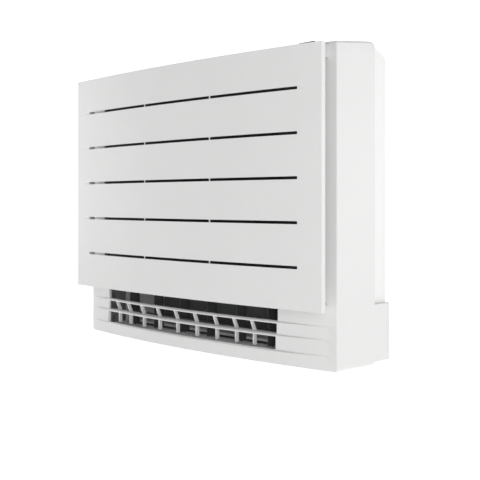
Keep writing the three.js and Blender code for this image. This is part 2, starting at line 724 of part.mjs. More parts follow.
function coilHeader() {
  const tube = rodZ(HEADER_R, HEADER_BOTTOM, HEADER_TOP, HEADER_X, HEADER_Y);
  const pitch = (HEADER_TOP - HEADER_BOTTOM) / STUBS;
  const stubs = Array.from({ length: STUBS }, (_, i) => {
    const z = HEADER_BOTTOM + pitch * (i + 0.5);
    return rodX(LIQUID_R, RIGHT_PLATE + END_PLATE + FIT, HEADER_X, HEADER_Y, z);
  });
  return join(tube, ...stubs);
}

place('coil_header', coilHeader(), COPPER);

// Pipes run from the header down beside the pan, back along the floor and to the right
const GAS_DROP_X = HEADER_X + 22;
const LIQUID_DROP_X = HEADER_X + 38;
const GAS_TAP_Z = HEADER_BOTTOM + 14;
const LIQUID_TAP_Z = HEADER_BOTTOM + 48;

function branch(radius, dropX, tapZ, y, z) {
  const bend = 14;
  return pipe(radius, [
    [HEADER_X + HEADER_R + FIT, HEADER_Y, tapZ],
    [dropX - bend / 2, HEADER_Y, tapZ],
    [dropX, HEADER_Y, tapZ - bend],
    [dropX, HEADER_Y, z + bend],
    [dropX, HEADER_Y + bend, z],
    [dropX, y - bend, z],
    [dropX + bend, y, z],
    [NUT_X - bend / 2, y, z],
    [NUT_X, y, z],
    [NUT_X + NUT_LENGTH + 6, y, z],
  ]);
}

place('gas_pipe', branch(GAS_R, GAS_DROP_X, GAS_TAP_Z, GAS_Y, GAS_Z), COPPER);
place('liquid_pipe', branch(LIQUID_R, LIQUID_DROP_X, LIQUID_TAP_Z, LIQUID_Y, LIQUID_Z), COPPER);

function flareNut(pipeR, y, z) {
  const hex = rodX(pipeR + 6, NUT_X, NUT_X + NUT_LENGTH, y, z, 6);
  return cut(hex, rodX(pipeR + FIT, NUT_X - 1, NUT_X + NUT_LENGTH + 1, y, z, 20));
}

place('gas_flare_nut', flareNut(GAS_R, GAS_Y, GAS_Z), BRASS);
place('liquid_flare_nut', flareNut(LIQUID_R, LIQUID_Y, LIQUID_Z), BRASS);

// The pan seats against the orifice plate, with a drain spout at its right end
const PAN_FRONT = COIL_FRONT - 4;
const PAN_REAR = ORIFICE_Y - FIT;
const PAN_LEFT = COIL_LEFT - PAN_END_ROOM;
const PAN_RIGHT = COIL_RIGHT + PAN_END_ROOM;

function drainPan() {
  const body = box(PAN_LEFT, PAN_RIGHT, PAN_FRONT, PAN_REAR, PAN_BOTTOM, PAN_BOTTOM + PAN_HEIGHT);
  const trough = box(
    PAN_LEFT + PAN_WALL, PAN_RIGHT - PAN_WALL, PAN_FRONT + PAN_WALL, PAN_REAR - PAN_WALL + 1,
    PAN_FLOOR, PAN_BOTTOM + PAN_HEIGHT + 1,
  );
  const spoutY = (PAN_FRONT + PAN_REAR) / 2;
  const spoutZ = PAN_FLOOR + SPOUT_BORE_R;
  const spout = rodX(SPOUT_R, PAN_RIGHT - 1, PAN_RIGHT + SPOUT_LENGTH, spoutY, spoutZ);
  const bore = rodX(SPOUT_BORE_R, PAN_RIGHT - PAN_WALL - 1, PAN_RIGHT + SPOUT_LENGTH + 1, spoutY, spoutZ);
  return cut(join(cut(body, trough), spout), bore);
}

place('drain_pan', drainPan(), FOAM);

// ---------------------------------------------------------------- fan

const ORIFICE_TOP = UPPER_BOTTOM - FIT;
const ORIFICE_REAR = ORIFICE_Y + ORIFICE_THICK;

function fanOrifice() {
  const plate = box(PAN_LEFT, PAN_RIGHT, ORIFICE_Y, ORIFICE_REAR, PAN_BOTTOM, ORIFICE_TOP);
  const hole = rodY(ORIFICE_R + 20, ORIFICE_Y - 1, ORIFICE_REAR + 1, FLOW_X, FAN_Z, RING_SIDES);
  const lipY = FAN_FRONT_Y + 4;
  const skin = 2.5;
  const throat = turned([
    [ORIFICE_R + 24, ORIFICE_Y + 0.6],
    [ORIFICE_R + 16, ORIFICE_Y + 0.6],
    [ORIFICE_R + 5, ORIFICE_Y + 4],
    [ORIFICE_R, ORIFICE_Y + 12],
    [ORIFICE_R, lipY],
    [ORIFICE_R + skin, lipY],
    [ORIFICE_R + skin, ORIFICE_Y + 12.5],
    [ORIFICE_R + 8, ORIFICE_Y + 5.5],
    [ORIFICE_R + 18, ORIFICE_Y + 2],
    [ORIFICE_R + 24, ORIFICE_Y + 2],
  ]);
  return join(cut(plate, hole), throat);
}

place('fan_orifice', fanOrifice(), INNER_WHITE);

// Backward-swept blades between the front shroud and the back disc
function fanRotor() {
  const shroudRearY = FAN_FRONT_Y + 16;
  const shroud = turned([
    [FAN_MOUTH_R, FAN_FRONT_Y],
    [FAN_MOUTH_R + 6, FAN_FRONT_Y + 7],
    [FAN_MOUTH_R + 20, shroudRearY - 4],
    [FAN_R, shroudRearY],
    [FAN_R, shroudRearY + 2],
    [FAN_MOUTH_R + 18, shroudRearY - 1.5],
    [FAN_MOUTH_R + 3.5, FAN_FRONT_Y + 8],
    [FAN_MOUTH_R + 2, FAN_FRONT_Y],
  ]);
  const cup = turned([
    [SHAFT_R + FIT, HUB_FRONT_Y - 4],
    [14, HUB_FRONT_Y - 4],
    [14, HUB_FRONT_Y],
    [HUB_R, HUB_FRONT_Y],
    [HUB_R, FAN_REAR_Y - HUB_WALL],
    [FAN_R, FAN_REAR_Y - HUB_WALL],
    [FAN_R, FAN_REAR_Y],
    [HUB_R - HUB_WALL, FAN_REAR_Y],
    [HUB_R - HUB_WALL, HUB_FRONT_Y + HUB_WALL],
    [SHAFT_R + FIT, HUB_FRONT_Y + HUB_WALL],
  ]);
  const bladeInner = 96;
  const bladeOuter = FAN_R - 1;
  const sweep = THREE.MathUtils.degToRad(38);
  const half = 1.4;
  const steps = 4;
  const spine = Array.from({ length: steps + 1 }, (_, i) => {
    const t = i / steps;
    const r = bladeInner + (bladeOuter - bladeInner) * t;
    return [r, sweep * t ** 0.8];
  });
  const blades = Array.from({ length: BLADES }, (_, k) => {
    const turn = (2 * Math.PI * k) / BLADES;
    const at = ([r, a], offset) => {
      const angle = turn + a + offset / r;
      return [FLOW_X + r * Math.cos(angle), FAN_Z + r * Math.sin(angle)];
    };
    const near = spine.map((p) => at(p, -half));
    const far = spine.map((p) => at(p, half)).reverse();
    return front([...near, ...far], FAN_FRONT_Y + 9, FAN_REAR_Y - HUB_WALL / 2);
  });
  const envelope = turned([
    [bladeInner - 4, HUB_FRONT_Y - 6],
    [FAN_MOUTH_R + 2, FAN_FRONT_Y + 9],
    [FAN_MOUTH_R + 19, shroudRearY - 2.5],
    [FAN_R, shroudRearY + 1],
    [FAN_R, FAN_REAR_Y - HUB_WALL / 2],
    [bladeInner - 4, FAN_REAR_Y - HUB_WALL / 2],
  ]);
  return join(shroud, cup, join(...blades).intersect(envelope));
}

place('fan_rotor', fanRotor(), FAN_GREY);

const SHAFT_FRONT = HUB_FRONT_Y - 14;
const SHAFT_REAR = MOTOR_FRONT_Y + 14;
place('motor_shaft', rodY(SHAFT_R, SHAFT_FRONT, SHAFT_REAR, FLOW_X, FAN_Z), STEEL);

function fanNut() {
  const hex = rodY(NUT_R, HUB_FRONT_Y - 11, HUB_FRONT_Y - 4 - FIT, FLOW_X, FAN_Z, 6);
  return cut(hex, rodY(SHAFT_R + FIT, SHAFT_FRONT - 5, HUB_FRONT_Y, FLOW_X, FAN_Z));
}

place('fan_nut', fanNut(), STEEL);

const lugAngle = (i) => Math.PI / 2 + (2 * Math.PI * i) / MOTOR_LUGS;
const lugX = (i) => FLOW_X + MOTOR_LUG_R * Math.cos(lugAngle(i));
const lugZ = (i) => FAN_Z + MOTOR_LUG_R * Math.sin(lugAngle(i));

function fanMotor() {
  const body = turned([
    [0, MOTOR_FRONT_Y],
    [MOTOR_R - 6, MOTOR_FRONT_Y],
    [MOTOR_R, MOTOR_FRONT_Y + 6],
    [MOTOR_R, MOTOR_REAR_Y],
    [0, MOTOR_REAR_Y],
  ], 32);
  const lugs = Array.from({ length: MOTOR_LUGS }, (_, i) => {
    const eye = rodY(LUG_EYE_R, MOTOR_REAR_Y - LUG_THICK, MOTOR_REAR_Y, lugX(i), lugZ(i));
    const neckX = (FLOW_X + 3 * lugX(i)) / 4;
    const neckZ = (FAN_Z + 3 * lugZ(i)) / 4;
    return join(eye, rodY(LUG_EYE_R * 1.1, MOTOR_REAR_Y - LUG_THICK, MOTOR_REAR_Y, neckX, neckZ));
  });
  const holes = Array.from({ length: MOTOR_LUGS }, (_, i) => (
    rodY(SCREW_R + FIT, 0, BACK_Y, lugX(i), lugZ(i))
  ));
  const shaftBore = rodY(SHAFT_R + FIT, MOTOR_FRONT_Y - 1, SHAFT_REAR + FIT, FLOW_X, FAN_Z);
  return cut(join(body, ...lugs), shaftBore, ...holes);
}

place('fan_motor', fanMotor(), DARK);

// A pan-head screw along Y, its head towards the room
function screwY(x, z, seatY, length) {
  const head = rodY(SCREW_HEAD_R, seatY - FIT - SCREW_HEAD, seatY - FIT, x, z, 12);
  return join(head, rodY(SCREW_R, seatY - FIT - 0.1, seatY + length, x, z));
}

for (let i = 0; i < MOTOR_LUGS; i += 1) {
  place(`motor_screw_${i + 1}`, screwY(lugX(i), lugZ(i), MOTOR_REAR_Y - LUG_THICK, 15), STEEL);
}

// ---------------------------------------------------------------- rear frame and wall plate

const FRAME_FRONT = SIDE_REAR_Y + FIT;
const FRAME_REAR = WALL_Y - WALL_PLATE - FIT;
const FLANGE_THICK = 3;
const FLOOR_THICK = 3;
const SCROLL_TOP = REAR_LIP_BOTTOM - 4;

function rearFrame() {
  const rim = [
    [FRAME_FRONT, 0],
    [FRAME_REAR, 0],
    [FRAME_REAR, CHAMFER_END_Z - 6],
    [FRAME_REAR - 5, CHAMFER_END_Z],
    [CHAMFER_START_Y, FRAME_TOP],
    [FRAME_FRONT, FRAME_TOP],
  ];
  const shellBody = side(rim, -FRAME_X, FRAME_X);
  const inside = FRAME_X - FRAME_WALL;
  const forward = side([
    [FRAME_FRONT - 1, FLOOR_THICK],
    [BACK_Y, FLOOR_THICK],
    [BACK_Y, CHAMFER_END_Z],
    [CHAMFER_START_Y, FRAME_TOP - FRAME_WALL],
    [FRAME_FRONT - 1, FRAME_TOP - FRAME_WALL],
  ], -inside, inside);
  const rearPocket = box(-inside, inside, BACK_Y + BACK_THICK, WALL_Y, -1, FRAME_TOP);
  const shell = cut(shellBody, forward, rearPocket);
  const casingInside = HALF_WIDTH - CASING_WALL - FIT;
  const floor = slab(
    -casingInside, casingInside, (x) => innerFaceY(x) + FIT, () => SIDE_REAR_Y, 0, FLOOR_THICK,
  );
  const flangeFront = SIDE_REAR_Y - FLANGE_THICK;
  const flangeTop = REAR_LIP_BOTTOM - FIT;
  const flange = cut(
    join(
      box(-casingInside, casingInside, flangeFront, SIDE_REAR_Y, 0, flangeTop),
      box(-FRAME_X, FRAME_X, flangeFront, FRAME_FRONT + 1, 0, flangeTop),
    ),
    box(-inside, inside, flangeFront - 1, FRAME_FRONT + 2, FLOOR_THICK, REAR_LIP_BOTTOM + 1),
  );
  const lowRib = WALL_PLATE_BOTTOM + REAR_RIB_INSET;
  const highRib = WALL_PLATE_TOP - REAR_RIB_INSET;
  const half = REAR_RIB_THICK / 2;
  const seatRibs = [lowRib, highRib].map((z) => (
    box(-FRAME_X + 1, FRAME_X - 1, BACK_Y + 1, FRAME_REAR, z - half, z + half)
  ));
  const barX = WALL_PLATE_HALF_WIDTH - WINDOW_BORDER / 2;
  const rearBars = [-barX, barX].map((x) => (
    box(x - half, x + half, BACK_Y + 1, FRAME_REAR, lowRib, highRib)
  ));
  const wall = (x) => box(x, x + FRAME_WALL, ORIFICE_REAR + FIT, BACK_Y + 1, FLOOR_THICK - 1, SCROLL_TOP);
  const motorSeat = turned([
    [40, MOTOR_REAR_Y + FIT],
    [MOTOR_R, MOTOR_REAR_Y + FIT],
    [MOTOR_R, BACK_Y + 1],
    [40, BACK_Y + 1],
  ], 32);
  const bosses = Array.from({ length: MOTOR_LUGS }, (_, i) => (
    rodY(LUG_EYE_R - 1, MOTOR_REAR_Y + FIT, BACK_Y + 1, lugX(i), lugZ(i))
  ));
  const posts = [-1, 1].map((way) => {
    const x = way * CASING_SCREW_X;
    return box(x - POST_HALF, x + POST_HALF, POST_FRONT, POST_FRONT + POST_DEPTH, 0, POST_TOP);
  });
  const holes = [
    ...[-1, 1].map((way) => (
      rodY(SCREW_R + FIT, POST_FRONT - 1, POST_FRONT + POST_DEPTH - 1, way * CASING_SCREW_X, CASING_SCREW_Z)
    )),
    ...Array.from({ length: MOTOR_LUGS }, (_, i) => (
      rodY(SCREW_R + FIT, MOTOR_REAR_Y, MOTOR_REAR_Y + 12, lugX(i), lugZ(i))
    )),
    rodX(SHUTTER_PIN_R + RUNNING_FIT, SCROLL_LEFT - 5, SCROLL_RIGHT + 5, SHUTTER_Y, SHUTTER_Z),
  ];
  const body = join(
    shell, floor, flange, wall(SCROLL_LEFT - FRAME_WALL), wall(SCROLL_RIGHT),
    motorSeat, ...bosses, ...seatRibs, ...rearBars, ...posts,
  );
  return cut(body, ...holes);
}

place('rear_frame', rearFrame(), INNER_WHITE);

for (const [name, way] of [['casing_screw_left', -1], ['casing_screw_right', 1]]) {
  const x = way * CASING_SCREW_X;
  const seat = Math.min(faceY(x - SCREW_HEAD_R, UPPER_FACE), faceY(x + SCREW_HEAD_R, UPPER_FACE));
  place(name, screwY(x, CASING_SCREW_Z, seat, 17), STEEL);
}

function mountingPlate() {
  const deep = [WALL_Y - WALL_PLATE, WALL_Y];
  const plate = box(
    -WALL_PLATE_HALF_WIDTH, WALL_PLATE_HALF_WIDTH, ...deep, WALL_PLATE_BOTTOM, WALL_PLATE_TOP,
  );
  const halfWindow = WALL_PLATE_HALF_WIDTH - WINDOW_BORDER;
  const window = box(
    -halfWindow, halfWindow, deep[0] - 1, deep[1] + 1,
    WALL_PLATE_BOTTOM + WINDOW_BORDER, WALL_PLATE_TOP - WINDOW_BORDER,
  );
  return cut(plate, window);
}

place('mounting_plate', mountingPlate(), STEEL);

// Boxed-out covers over the pipe space at the foot of each side
function pipeCover(way) {
  const outer = way * (HALF_WIDTH - PIPE_COVER_INSET);
  const inner = way * (FRAME_X + FIT);
  const low = Math.min(inner, outer);
  const high = Math.max(inner, outer);
  return box(low, high, SIDE_REAR_Y + FIT, WALL_Y, 0, PIPE_COVER_TOP);
}

place('side_pipe_cover_left', pipeCover(-1), WHITE);
place('side_pipe_cover_right', pipeCover(1), WHITE);

// ---------------------------------------------------------------- upper outlet

const vaneX = (i) => FLOW_X + (i - (VANES - 1) / 2) * VANE_PITCH;
const NOZZLE_FRONT = UPPER_FRONT_Y - FRAME_WALL;
const NOZZLE_REAR = UPPER_REAR_Y + FRAME_WALL;
const casingUnder = (y) => topZ(y) - CASING_WALL - FIT;

function upperOutletFrame() {
  const topLine = (y) => [y, casingUnder(y)];
  const wallOut = side([
    [NOZZLE_FRONT, UPPER_BOTTOM], [NOZZLE_REAR, UPPER_BOTTOM], topLine(NOZZLE_REAR), topLine(NOZZLE_FRONT),
  ], DUCT_LEFT, DUCT_RIGHT);
  const wallIn = side([
    [UPPER_FRONT_Y, UPPER_BOTTOM - 1], [UPPER_REAR_Y, UPPER_BOTTOM - 1],
    [UPPER_REAR_Y, HEIGHT], [UPPER_FRONT_Y, HEIGHT],
  ], NOZZLE_LEFT, NOZZLE_RIGHT);
  const sill = box(DUCT_LEFT, DUCT_RIGHT, NOZZLE_FRONT, ORIFICE_REAR, UPPER_BOTTOM, UPPER_BOTTOM + FRAME_WALL);
  const ramp = side([
    [UPPER_REAR_Y, UPPER_BOTTOM + 3], [UPPER_REAR_Y, UPPER_BOTTOM],
    [BACK_Y - FIT, UPPER_BOTTOM - 34], [BACK_Y - FIT, UPPER_BOTTOM - 31], [NOZZLE_REAR, UPPER_BOTTOM + 3],
  ], DUCT_LEFT, DUCT_RIGHT);
  const pivots = Array.from({ length: VANES }, (_, i) => (
    rodY(VANE_PIN_R + RUNNING_FIT, NOZZLE_FRONT - 1, NOZZLE_REAR + 1, vaneX(i), UPPER_PIVOT_Z)
  ));
  const flapPins = rodX(FLAP_PIN_R + RUNNING_FIT, DUCT_LEFT - 1, DUCT_RIGHT + 1, FLAP_AXIS_Y, FLAP_AXIS_Z);
  return cut(join(cut(wallOut, wallIn), sill, ramp), ...pivots, flapPins);
}

place('upper_outlet_frame', upperOutletFrame(), INNER_WHITE);

const FLAP_LEFT = NOZZLE_LEFT + FIT;
const FLAP_RIGHT = NOZZLE_RIGHT - FIT;
const MOTOR_SIDE_X = SCROLL_RIGHT + FRAME_WALL + FIT;

function upperFlap() {
  const blade = side([
    [FLAP_FRONT_Y, topZ(FLAP_FRONT_Y)],
    [FLAP_FRONT_Y + 1, topZ(FLAP_FRONT_Y) - FLAP_THICK],
    [FLAP_REAR_Y - 6, topZ(FLAP_REAR_Y) - FLAP_THICK],
    [FLAP_REAR_Y - 1, topZ(FLAP_REAR_Y) - FLAP_THICK - 3],
    [FLAP_REAR_Y, topZ(FLAP_REAR_Y) - 3.5],
    [FLAP_REAR_Y - 3, topZ(FLAP_REAR_Y) - 0.8],
    [FLAP_REAR_Y - 8, topZ(FLAP_REAR_Y - 8)],
  ], FLAP_LEFT, FLAP_RIGHT);
  const arm = (x) => side([
    [FLAP_AXIS_Y - 12, topZ(FLAP_AXIS_Y - 12) - FLAP_THICK + 0.5],
    ...arc(FLAP_AXIS_Y, FLAP_AXIS_Z, 5, 180, 360),
    [FLAP_AXIS_Y + 12, topZ(FLAP_AXIS_Y + 12) - FLAP_THICK + 0.5],
  ], x, x + 3);
  const leftPin = rodX(FLAP_PIN_R, DUCT_LEFT + 0.1, FLAP_LEFT + 1, FLAP_AXIS_Y, FLAP_AXIS_Z);
  const rightPin = rodX(FLAP_PIN_R, FLAP_RIGHT - 1, MOTOR_SIDE_X + 3, FLAP_AXIS_Y, FLAP_AXIS_Z);
  return join(blade, arm(FLAP_LEFT), arm(FLAP_RIGHT - 3), leftPin, rightPin);
}

place('upper_flap', upperFlap(), WHITE);

// A small stepping motor on the scroll's right wall, with its drive socket at its left end
function steppingMotor(y, z, radius, socketR) {
  const can = rodX(radius, MOTOR_SIDE_X, MOTOR_SIDE_X + STEP_MOTOR_LENGTH, y, z, 24);
  const ears = box(
    MOTOR_SIDE_X, MOTOR_SIDE_X + 1.5, y - radius - STEP_MOTOR_EAR, y + radius + STEP_MOTOR_EAR, z - 4, z + 2,
  );
  return cut(join(can, ears), rodX(socketR, MOTOR_SIDE_X - 1, MOTOR_SIDE_X + 5, y, z));
}

place('upper_flap_motor', steppingMotor(FLAP_AXIS_Y, FLAP_AXIS_Z, STEP_MOTOR_R, FLAP_PIN_R + FIT), STEEL);

const LINK_HALF = 2;
const NOTCH_HALF = 5;
const vaneThickHalf = VANE_THICK / 2;
const prongIn = LINK_PIN_R + LINK_PIN_FIT;
const prongOut = prongIn + PRONG;

// A vane of the upper outlet turns about Y, with its link pin in a notch below the pivot
const UPPER_VANE_MID_Y = (UPPER_FRONT_Y + UPPER_REAR_Y) / 2;
const UPPER_LINK_Z = UPPER_PIVOT_Z - VANE_ARM;

function upperVane(i) {
  const x = vaneX(i);
  const plate = box(
    x - vaneThickHalf, x + vaneThickHalf, UPPER_FRONT_Y + 1, UPPER_REAR_Y - 1,
    UPPER_LINK_Z - 4, UPPER_PIVOT_Z + 9,
  );
  const notch = box(
    x - 2, x + 2, UPPER_VANE_MID_Y - NOTCH_HALF, UPPER_VANE_MID_Y + NOTCH_HALF,
    UPPER_LINK_Z - 5, UPPER_LINK_Z + 5,
  );
  const pivot = rodY(VANE_PIN_R, UPPER_FRONT_Y - 2, UPPER_REAR_Y + 2, x, UPPER_PIVOT_Z);
  const linkPin = rodY(
    LINK_PIN_R, UPPER_VANE_MID_Y - NOTCH_HALF - 1, UPPER_VANE_MID_Y + NOTCH_HALF + 1, x, UPPER_LINK_Z,
  );
  return join(cut(plate, notch), pivot, linkPin);
}

for (let i = 0; i < VANES; i += 1) place(`upper_vane_${i + 1}`, upperVane(i), INNER_WHITE);

function upperLink() {
  const y0 = UPPER_VANE_MID_Y - LINK_HALF;
  const y1 = UPPER_VANE_MID_Y + LINK_HALF;
  const barTop = UPPER_LINK_Z - LINK_PIN_R - FIT;
  const tip = UPPER_LINK_Z + 2.6;
  const bar = box(vaneX(0) - 8, vaneX(VANES - 1) + 8, y0, y1, barTop - 4, barTop);
  const prongs = Array.from({ length: VANES }, (_, i) => join(
    box(vaneX(i) - prongOut, vaneX(i) - prongIn, y0, y1, barTop - 1, tip),
    box(vaneX(i) + prongIn, vaneX(i) + prongOut, y0, y1, barTop - 1, tip),
  ));
  return join(bar, ...prongs);
}

place('upper_vane_link', upperLink(), DARK);

// ---------------------------------------------------------------- lower duct

function lowerDuct() {
  const t = FRAME_WALL;
  const rear = BACK_Y - FIT;
  const curl = rear - SHUTTER_Y - SHUTTER_LENGTH - SHUTTER_TAIL_ROOM;
  const mouth = FRONT_Y;
  const floor = side([
    [mouth, DUCT_FLOOR - t],
    ...arc(rear - curl, DUCT_FLOOR - t + curl, curl, -90, 0),
    [rear, PAN_BOTTOM],
    [rear - t, PAN_BOTTOM],
    ...arc(rear - curl, DUCT_FLOOR - t + curl, curl - t, 0, -90),
    [mouth, DUCT_FLOOR],
  ], DUCT_LEFT, DUCT_RIGHT);
  const ceiling = box(DUCT_LEFT, DUCT_RIGHT, mouth, ORIFICE_REAR, DUCT_CEILING, DUCT_CEILING + t);
  const cheek = (x) => box(x, x + t, mouth, ORIFICE_REAR, DUCT_FLOOR - 1, DUCT_CEILING + 1);
  const reach = slab(-HALF_WIDTH, HALF_WIDTH, (x) => innerFaceY(x) + FIT, () => WALL_Y, 0, HEIGHT);
  const behindGrille = slab(-HALF_WIDTH, HALF_WIDTH, (x) => grilleRearY(x) + FIT, () => WALL_Y, 0, HEIGHT);
  const cheeks = join(cheek(DUCT_LEFT), cheek(DUCT_RIGHT - t)).intersect(behindGrille);
  const walls = join(floor, ceiling, cheeks).intersect(reach);
  const pivots = Array.from({ length: VANES }, (_, i) => (
    rodZ(VANE_PIN_R + RUNNING_FIT, DUCT_FLOOR - t - 1, DUCT_CEILING + t + 1, vaneX(i), LOWER_PIVOT_Y)
  ));
  return cut(walls, ...pivots);
}

place('lower_duct', lowerDuct(), INNER_WHITE);

// A vane of the lower outlet turns about Z, with its link pin in a notch before the pivot
const LOWER_LINK_Y = LOWER_PIVOT_Y - VANE_ARM;
const LOWER_LINK_Z = LEDGE_TOPS[1] - BAR_HEIGHT / 2;

function lowerVane(i) {
  const x = vaneX(i);
  const plate = box(
    x - vaneThickHalf, x + vaneThickHalf, LOWER_LINK_Y - 3, LOWER_PIVOT_Y + VANE_ARM,
    DUCT_FLOOR + 2, DUCT_CEILING - 2,
  );
  const notch = box(
    x - 2, x + 2, LOWER_LINK_Y - 4, LOWER_LINK_Y + 5, LOWER_LINK_Z - NOTCH_HALF, LOWER_LINK_Z + NOTCH_HALF,
  );
  const pivot = rodZ(VANE_PIN_R, DUCT_FLOOR - 2, DUCT_CEILING + 2, x, LOWER_PIVOT_Y);
  const linkPin = rodZ(
    LINK_PIN_R, LOWER_LINK_Z - NOTCH_HALF - 1, LOWER_LINK_Z + NOTCH_HALF + 1, x, LOWER_LINK_Y,
  );
  return join(cut(plate, notch), pivot, linkPin);
}

for (let i = 0; i < VANES; i += 1) place(`lower_vane_${i + 1}`, lowerVane(i), DARK);

function lowerLink() {
  const z0 = LOWER_LINK_Z - LINK_HALF;
  const z1 = LOWER_LINK_Z + LINK_HALF;
  const barRear = LOWER_LINK_Y - LINK_PIN_R - FIT;
  const tip = LOWER_LINK_Y + 2.6;
  const bar = box(vaneX(0) - 8, vaneX(VANES - 1) + 8, barRear - 4, barRear, z0, z1);
  const prongs = Array.from({ length: VANES }, (_, i) => join(
    box(vaneX(i) - prongOut, vaneX(i) - prongIn, barRear - 1, tip, z0, z1),
    box(vaneX(i) + prongIn, vaneX(i) + prongOut, barRear - 1, tip, z0, z1),
  ));
  return join(bar, ...prongs);
}

place('lower_vane_link', lowerLink(), DARK);

// The shutter lies on the duct's floor, and stands up to close the lower outlet
function lowerShutter() {
  const left = SCROLL_LEFT + 1;
  const right = SCROLL_RIGHT - 1;
  const blade = box(
    left, right, SHUTTER_Y - 2, SHUTTER_Y + SHUTTER_LENGTH, SHUTTER_Z - SHUTTER_THICK / 2,
    SHUTTER_Z + SHUTTER_THICK / 2,
  );
  const eye = rodX(SHUTTER_PIN_R + 1, left, right, SHUTTER_Y, SHUTTER_Z);
  const pins = rodX(SHUTTER_PIN_R, SCROLL_LEFT - 2, MOTOR_SIDE_X + 3, SHUTTER_Y, SHUTTER_Z);
  return join(blade, eye, pins);
}

place('lower_shutter', lowerShutter(), DARK);
place('lower_shutter_motor', steppingMotor(SHUTTER_Y, SHUTTER_Z, STEP_MOTOR_R, SHUTTER_PIN_R + FIT), STEEL);

// ---------------------------------------------------------------- electrical side

const BOX_LEFT = SCROLL_RIGHT + FRAME_WALL + FIT;

function electricalBox() {
  const body = box(BOX_LEFT, BOX_RIGHT, BOX_FRONT, BOX_REAR, BOX_BOTTOM, BOX_TOP);
  const hollow = box(
    BOX_LEFT + BOX_WALL, BOX_RIGHT - BOX_WALL, BOX_FRONT - 1, BOX_REAR - BOX_WALL,
    BOX_BOTTOM + BOX_WALL, BOX_TOP - BOX_WALL,
  );
  const posts = BOARD_POSTS.map(([x, z]) => (
    rodY(BOARD_POST_R, BOARD_REAR + FIT, BOX_REAR - BOX_WALL + 0.5, x, z, 12)
  ));
  return join(cut(body, hollow), ...posts);
}

const BOARD_LEFT = BOX_LEFT + BOARD_MARGIN;
const BOARD_RIGHT = BOX_RIGHT - BOARD_MARGIN;
const BOARD_BOTTOM = BOX_BOTTOM + BOARD_END_MARGIN;
const BOARD_TOP = BOX_TOP - BOARD_END_MARGIN;
const BOARD_POSTS = [
  [BOARD_LEFT + BOARD_POST_INSET, BOARD_BOTTOM + BOARD_POST_INSET],
  [BOARD_RIGHT - BOARD_POST_INSET, BOARD_BOTTOM + BOARD_POST_INSET],
  [BOARD_LEFT + BOARD_POST_INSET, BOARD_TOP - BOARD_POST_INSET],
  [BOARD_RIGHT - BOARD_POST_INSET, BOARD_TOP - BOARD_POST_INSET],
];

place('electrical_box', electricalBox(), STEEL);

const COVER_REAR = BOX_FRONT - FIT;
const boxCover = box(BOX_LEFT, BOX_RIGHT, COVER_REAR - BOX_WALL, COVER_REAR, BOX_BOTTOM, BOX_TOP);

place('electrical_box_cover', boxCover, STEEL);

function controlBoard() {
  const y0 = BOARD_REAR - BOARD_THICK;
  const board = box(BOARD_LEFT, BOARD_RIGHT, y0, BOARD_REAR, BOARD_BOTTOM, BOARD_TOP);
  const middle = (BOARD_LEFT + BOARD_RIGHT) / 2;
  const capacitorZ = BOARD_TOP - CAPACITOR_PITCH - CAPACITOR_R;
  const capacitors = Array.from({ length: CAPACITORS }, (_, i) => {
    const x = middle + CAPACITOR_PITCH * (i - (CAPACITORS - 1) / 2);
    return rodY(CAPACITOR_R, y0 - CAPACITOR_LENGTH, y0 + 1, x, capacitorZ);
  });
  const relayX = BOARD_LEFT + BOARD_MARGIN;
  const relayZ = BOARD_BOTTOM + BOARD_END_MARGIN;
  const relay = box(relayX, relayX + RELAY_WIDTH, y0 - RELAY_DEPTH, y0 + 1, relayZ, relayZ + RELAY_HEIGHT);
  const sinkX = BOARD_RIGHT - BOARD_MARGIN;
  const sinkZ = relayZ + RELAY_HEIGHT + BOARD_END_MARGIN;
  const sink = box(sinkX - SINK_WIDTH, sinkX, y0 - SINK_DEPTH, y0 + 1, sinkZ, sinkZ + SINK_HEIGHT);
  return join(board, ...capacitors, relay, sink);
}

place('control_board', controlBoard(), BOARD);

function terminalBlock() {
  const top = BOX_BOTTOM - FIT;
  const bottom = top - TERMINAL_HEIGHT;
  const rim = 4;
  const right = BOX_RIGHT - BOX_WALL;
  const left = right - TERMINAL_WAYS * TERMINAL_PITCH - rim;
  const body = box(left, right, TERMINAL_FRONT, TERMINAL_FRONT + TERMINAL_DEPTH, bottom, top);
  const pockets = Array.from({ length: TERMINAL_WAYS }, (_, i) => {
    const x = left + rim + i * TERMINAL_PITCH;
    const deep = [TERMINAL_FRONT - 1, TERMINAL_FRONT + 12];
    return box(x, x + TERMINAL_PITCH - rim, ...deep, bottom + rim, top - 2 * rim);
  });
  return cut(body, ...pockets);
}

place('terminal_block', terminalBlock(), DARK);

// The room temperature sensor sits in a clip beside the right filter rail
function roomSensor() {
  const x = INLET_RIGHT + FILTER_OVERLAP + FIT + RAIL_THICK + FIT;
  const width = 9;
  const y = innerFaceY(x + width) + FIT;
  const clip = box(x, x + width, y, y + 5, SENSOR_Z - 15, SENSOR_Z + 15);
  const bulb = rodZ(SENSOR_R, SENSOR_Z - 12, SENSOR_Z + 12, x + width / 2, y + 6, 12);
  return join(clip, bulb);
}

place('room_sensor', roomSensor(), DARK);

// ---------------------------------------------------------------- receiver and button

const receiverLeft = RECEIVER_X - RECEIVER_WIDTH / 2;
const receiverRight = RECEIVER_X + RECEIVER_WIDTH / 2;

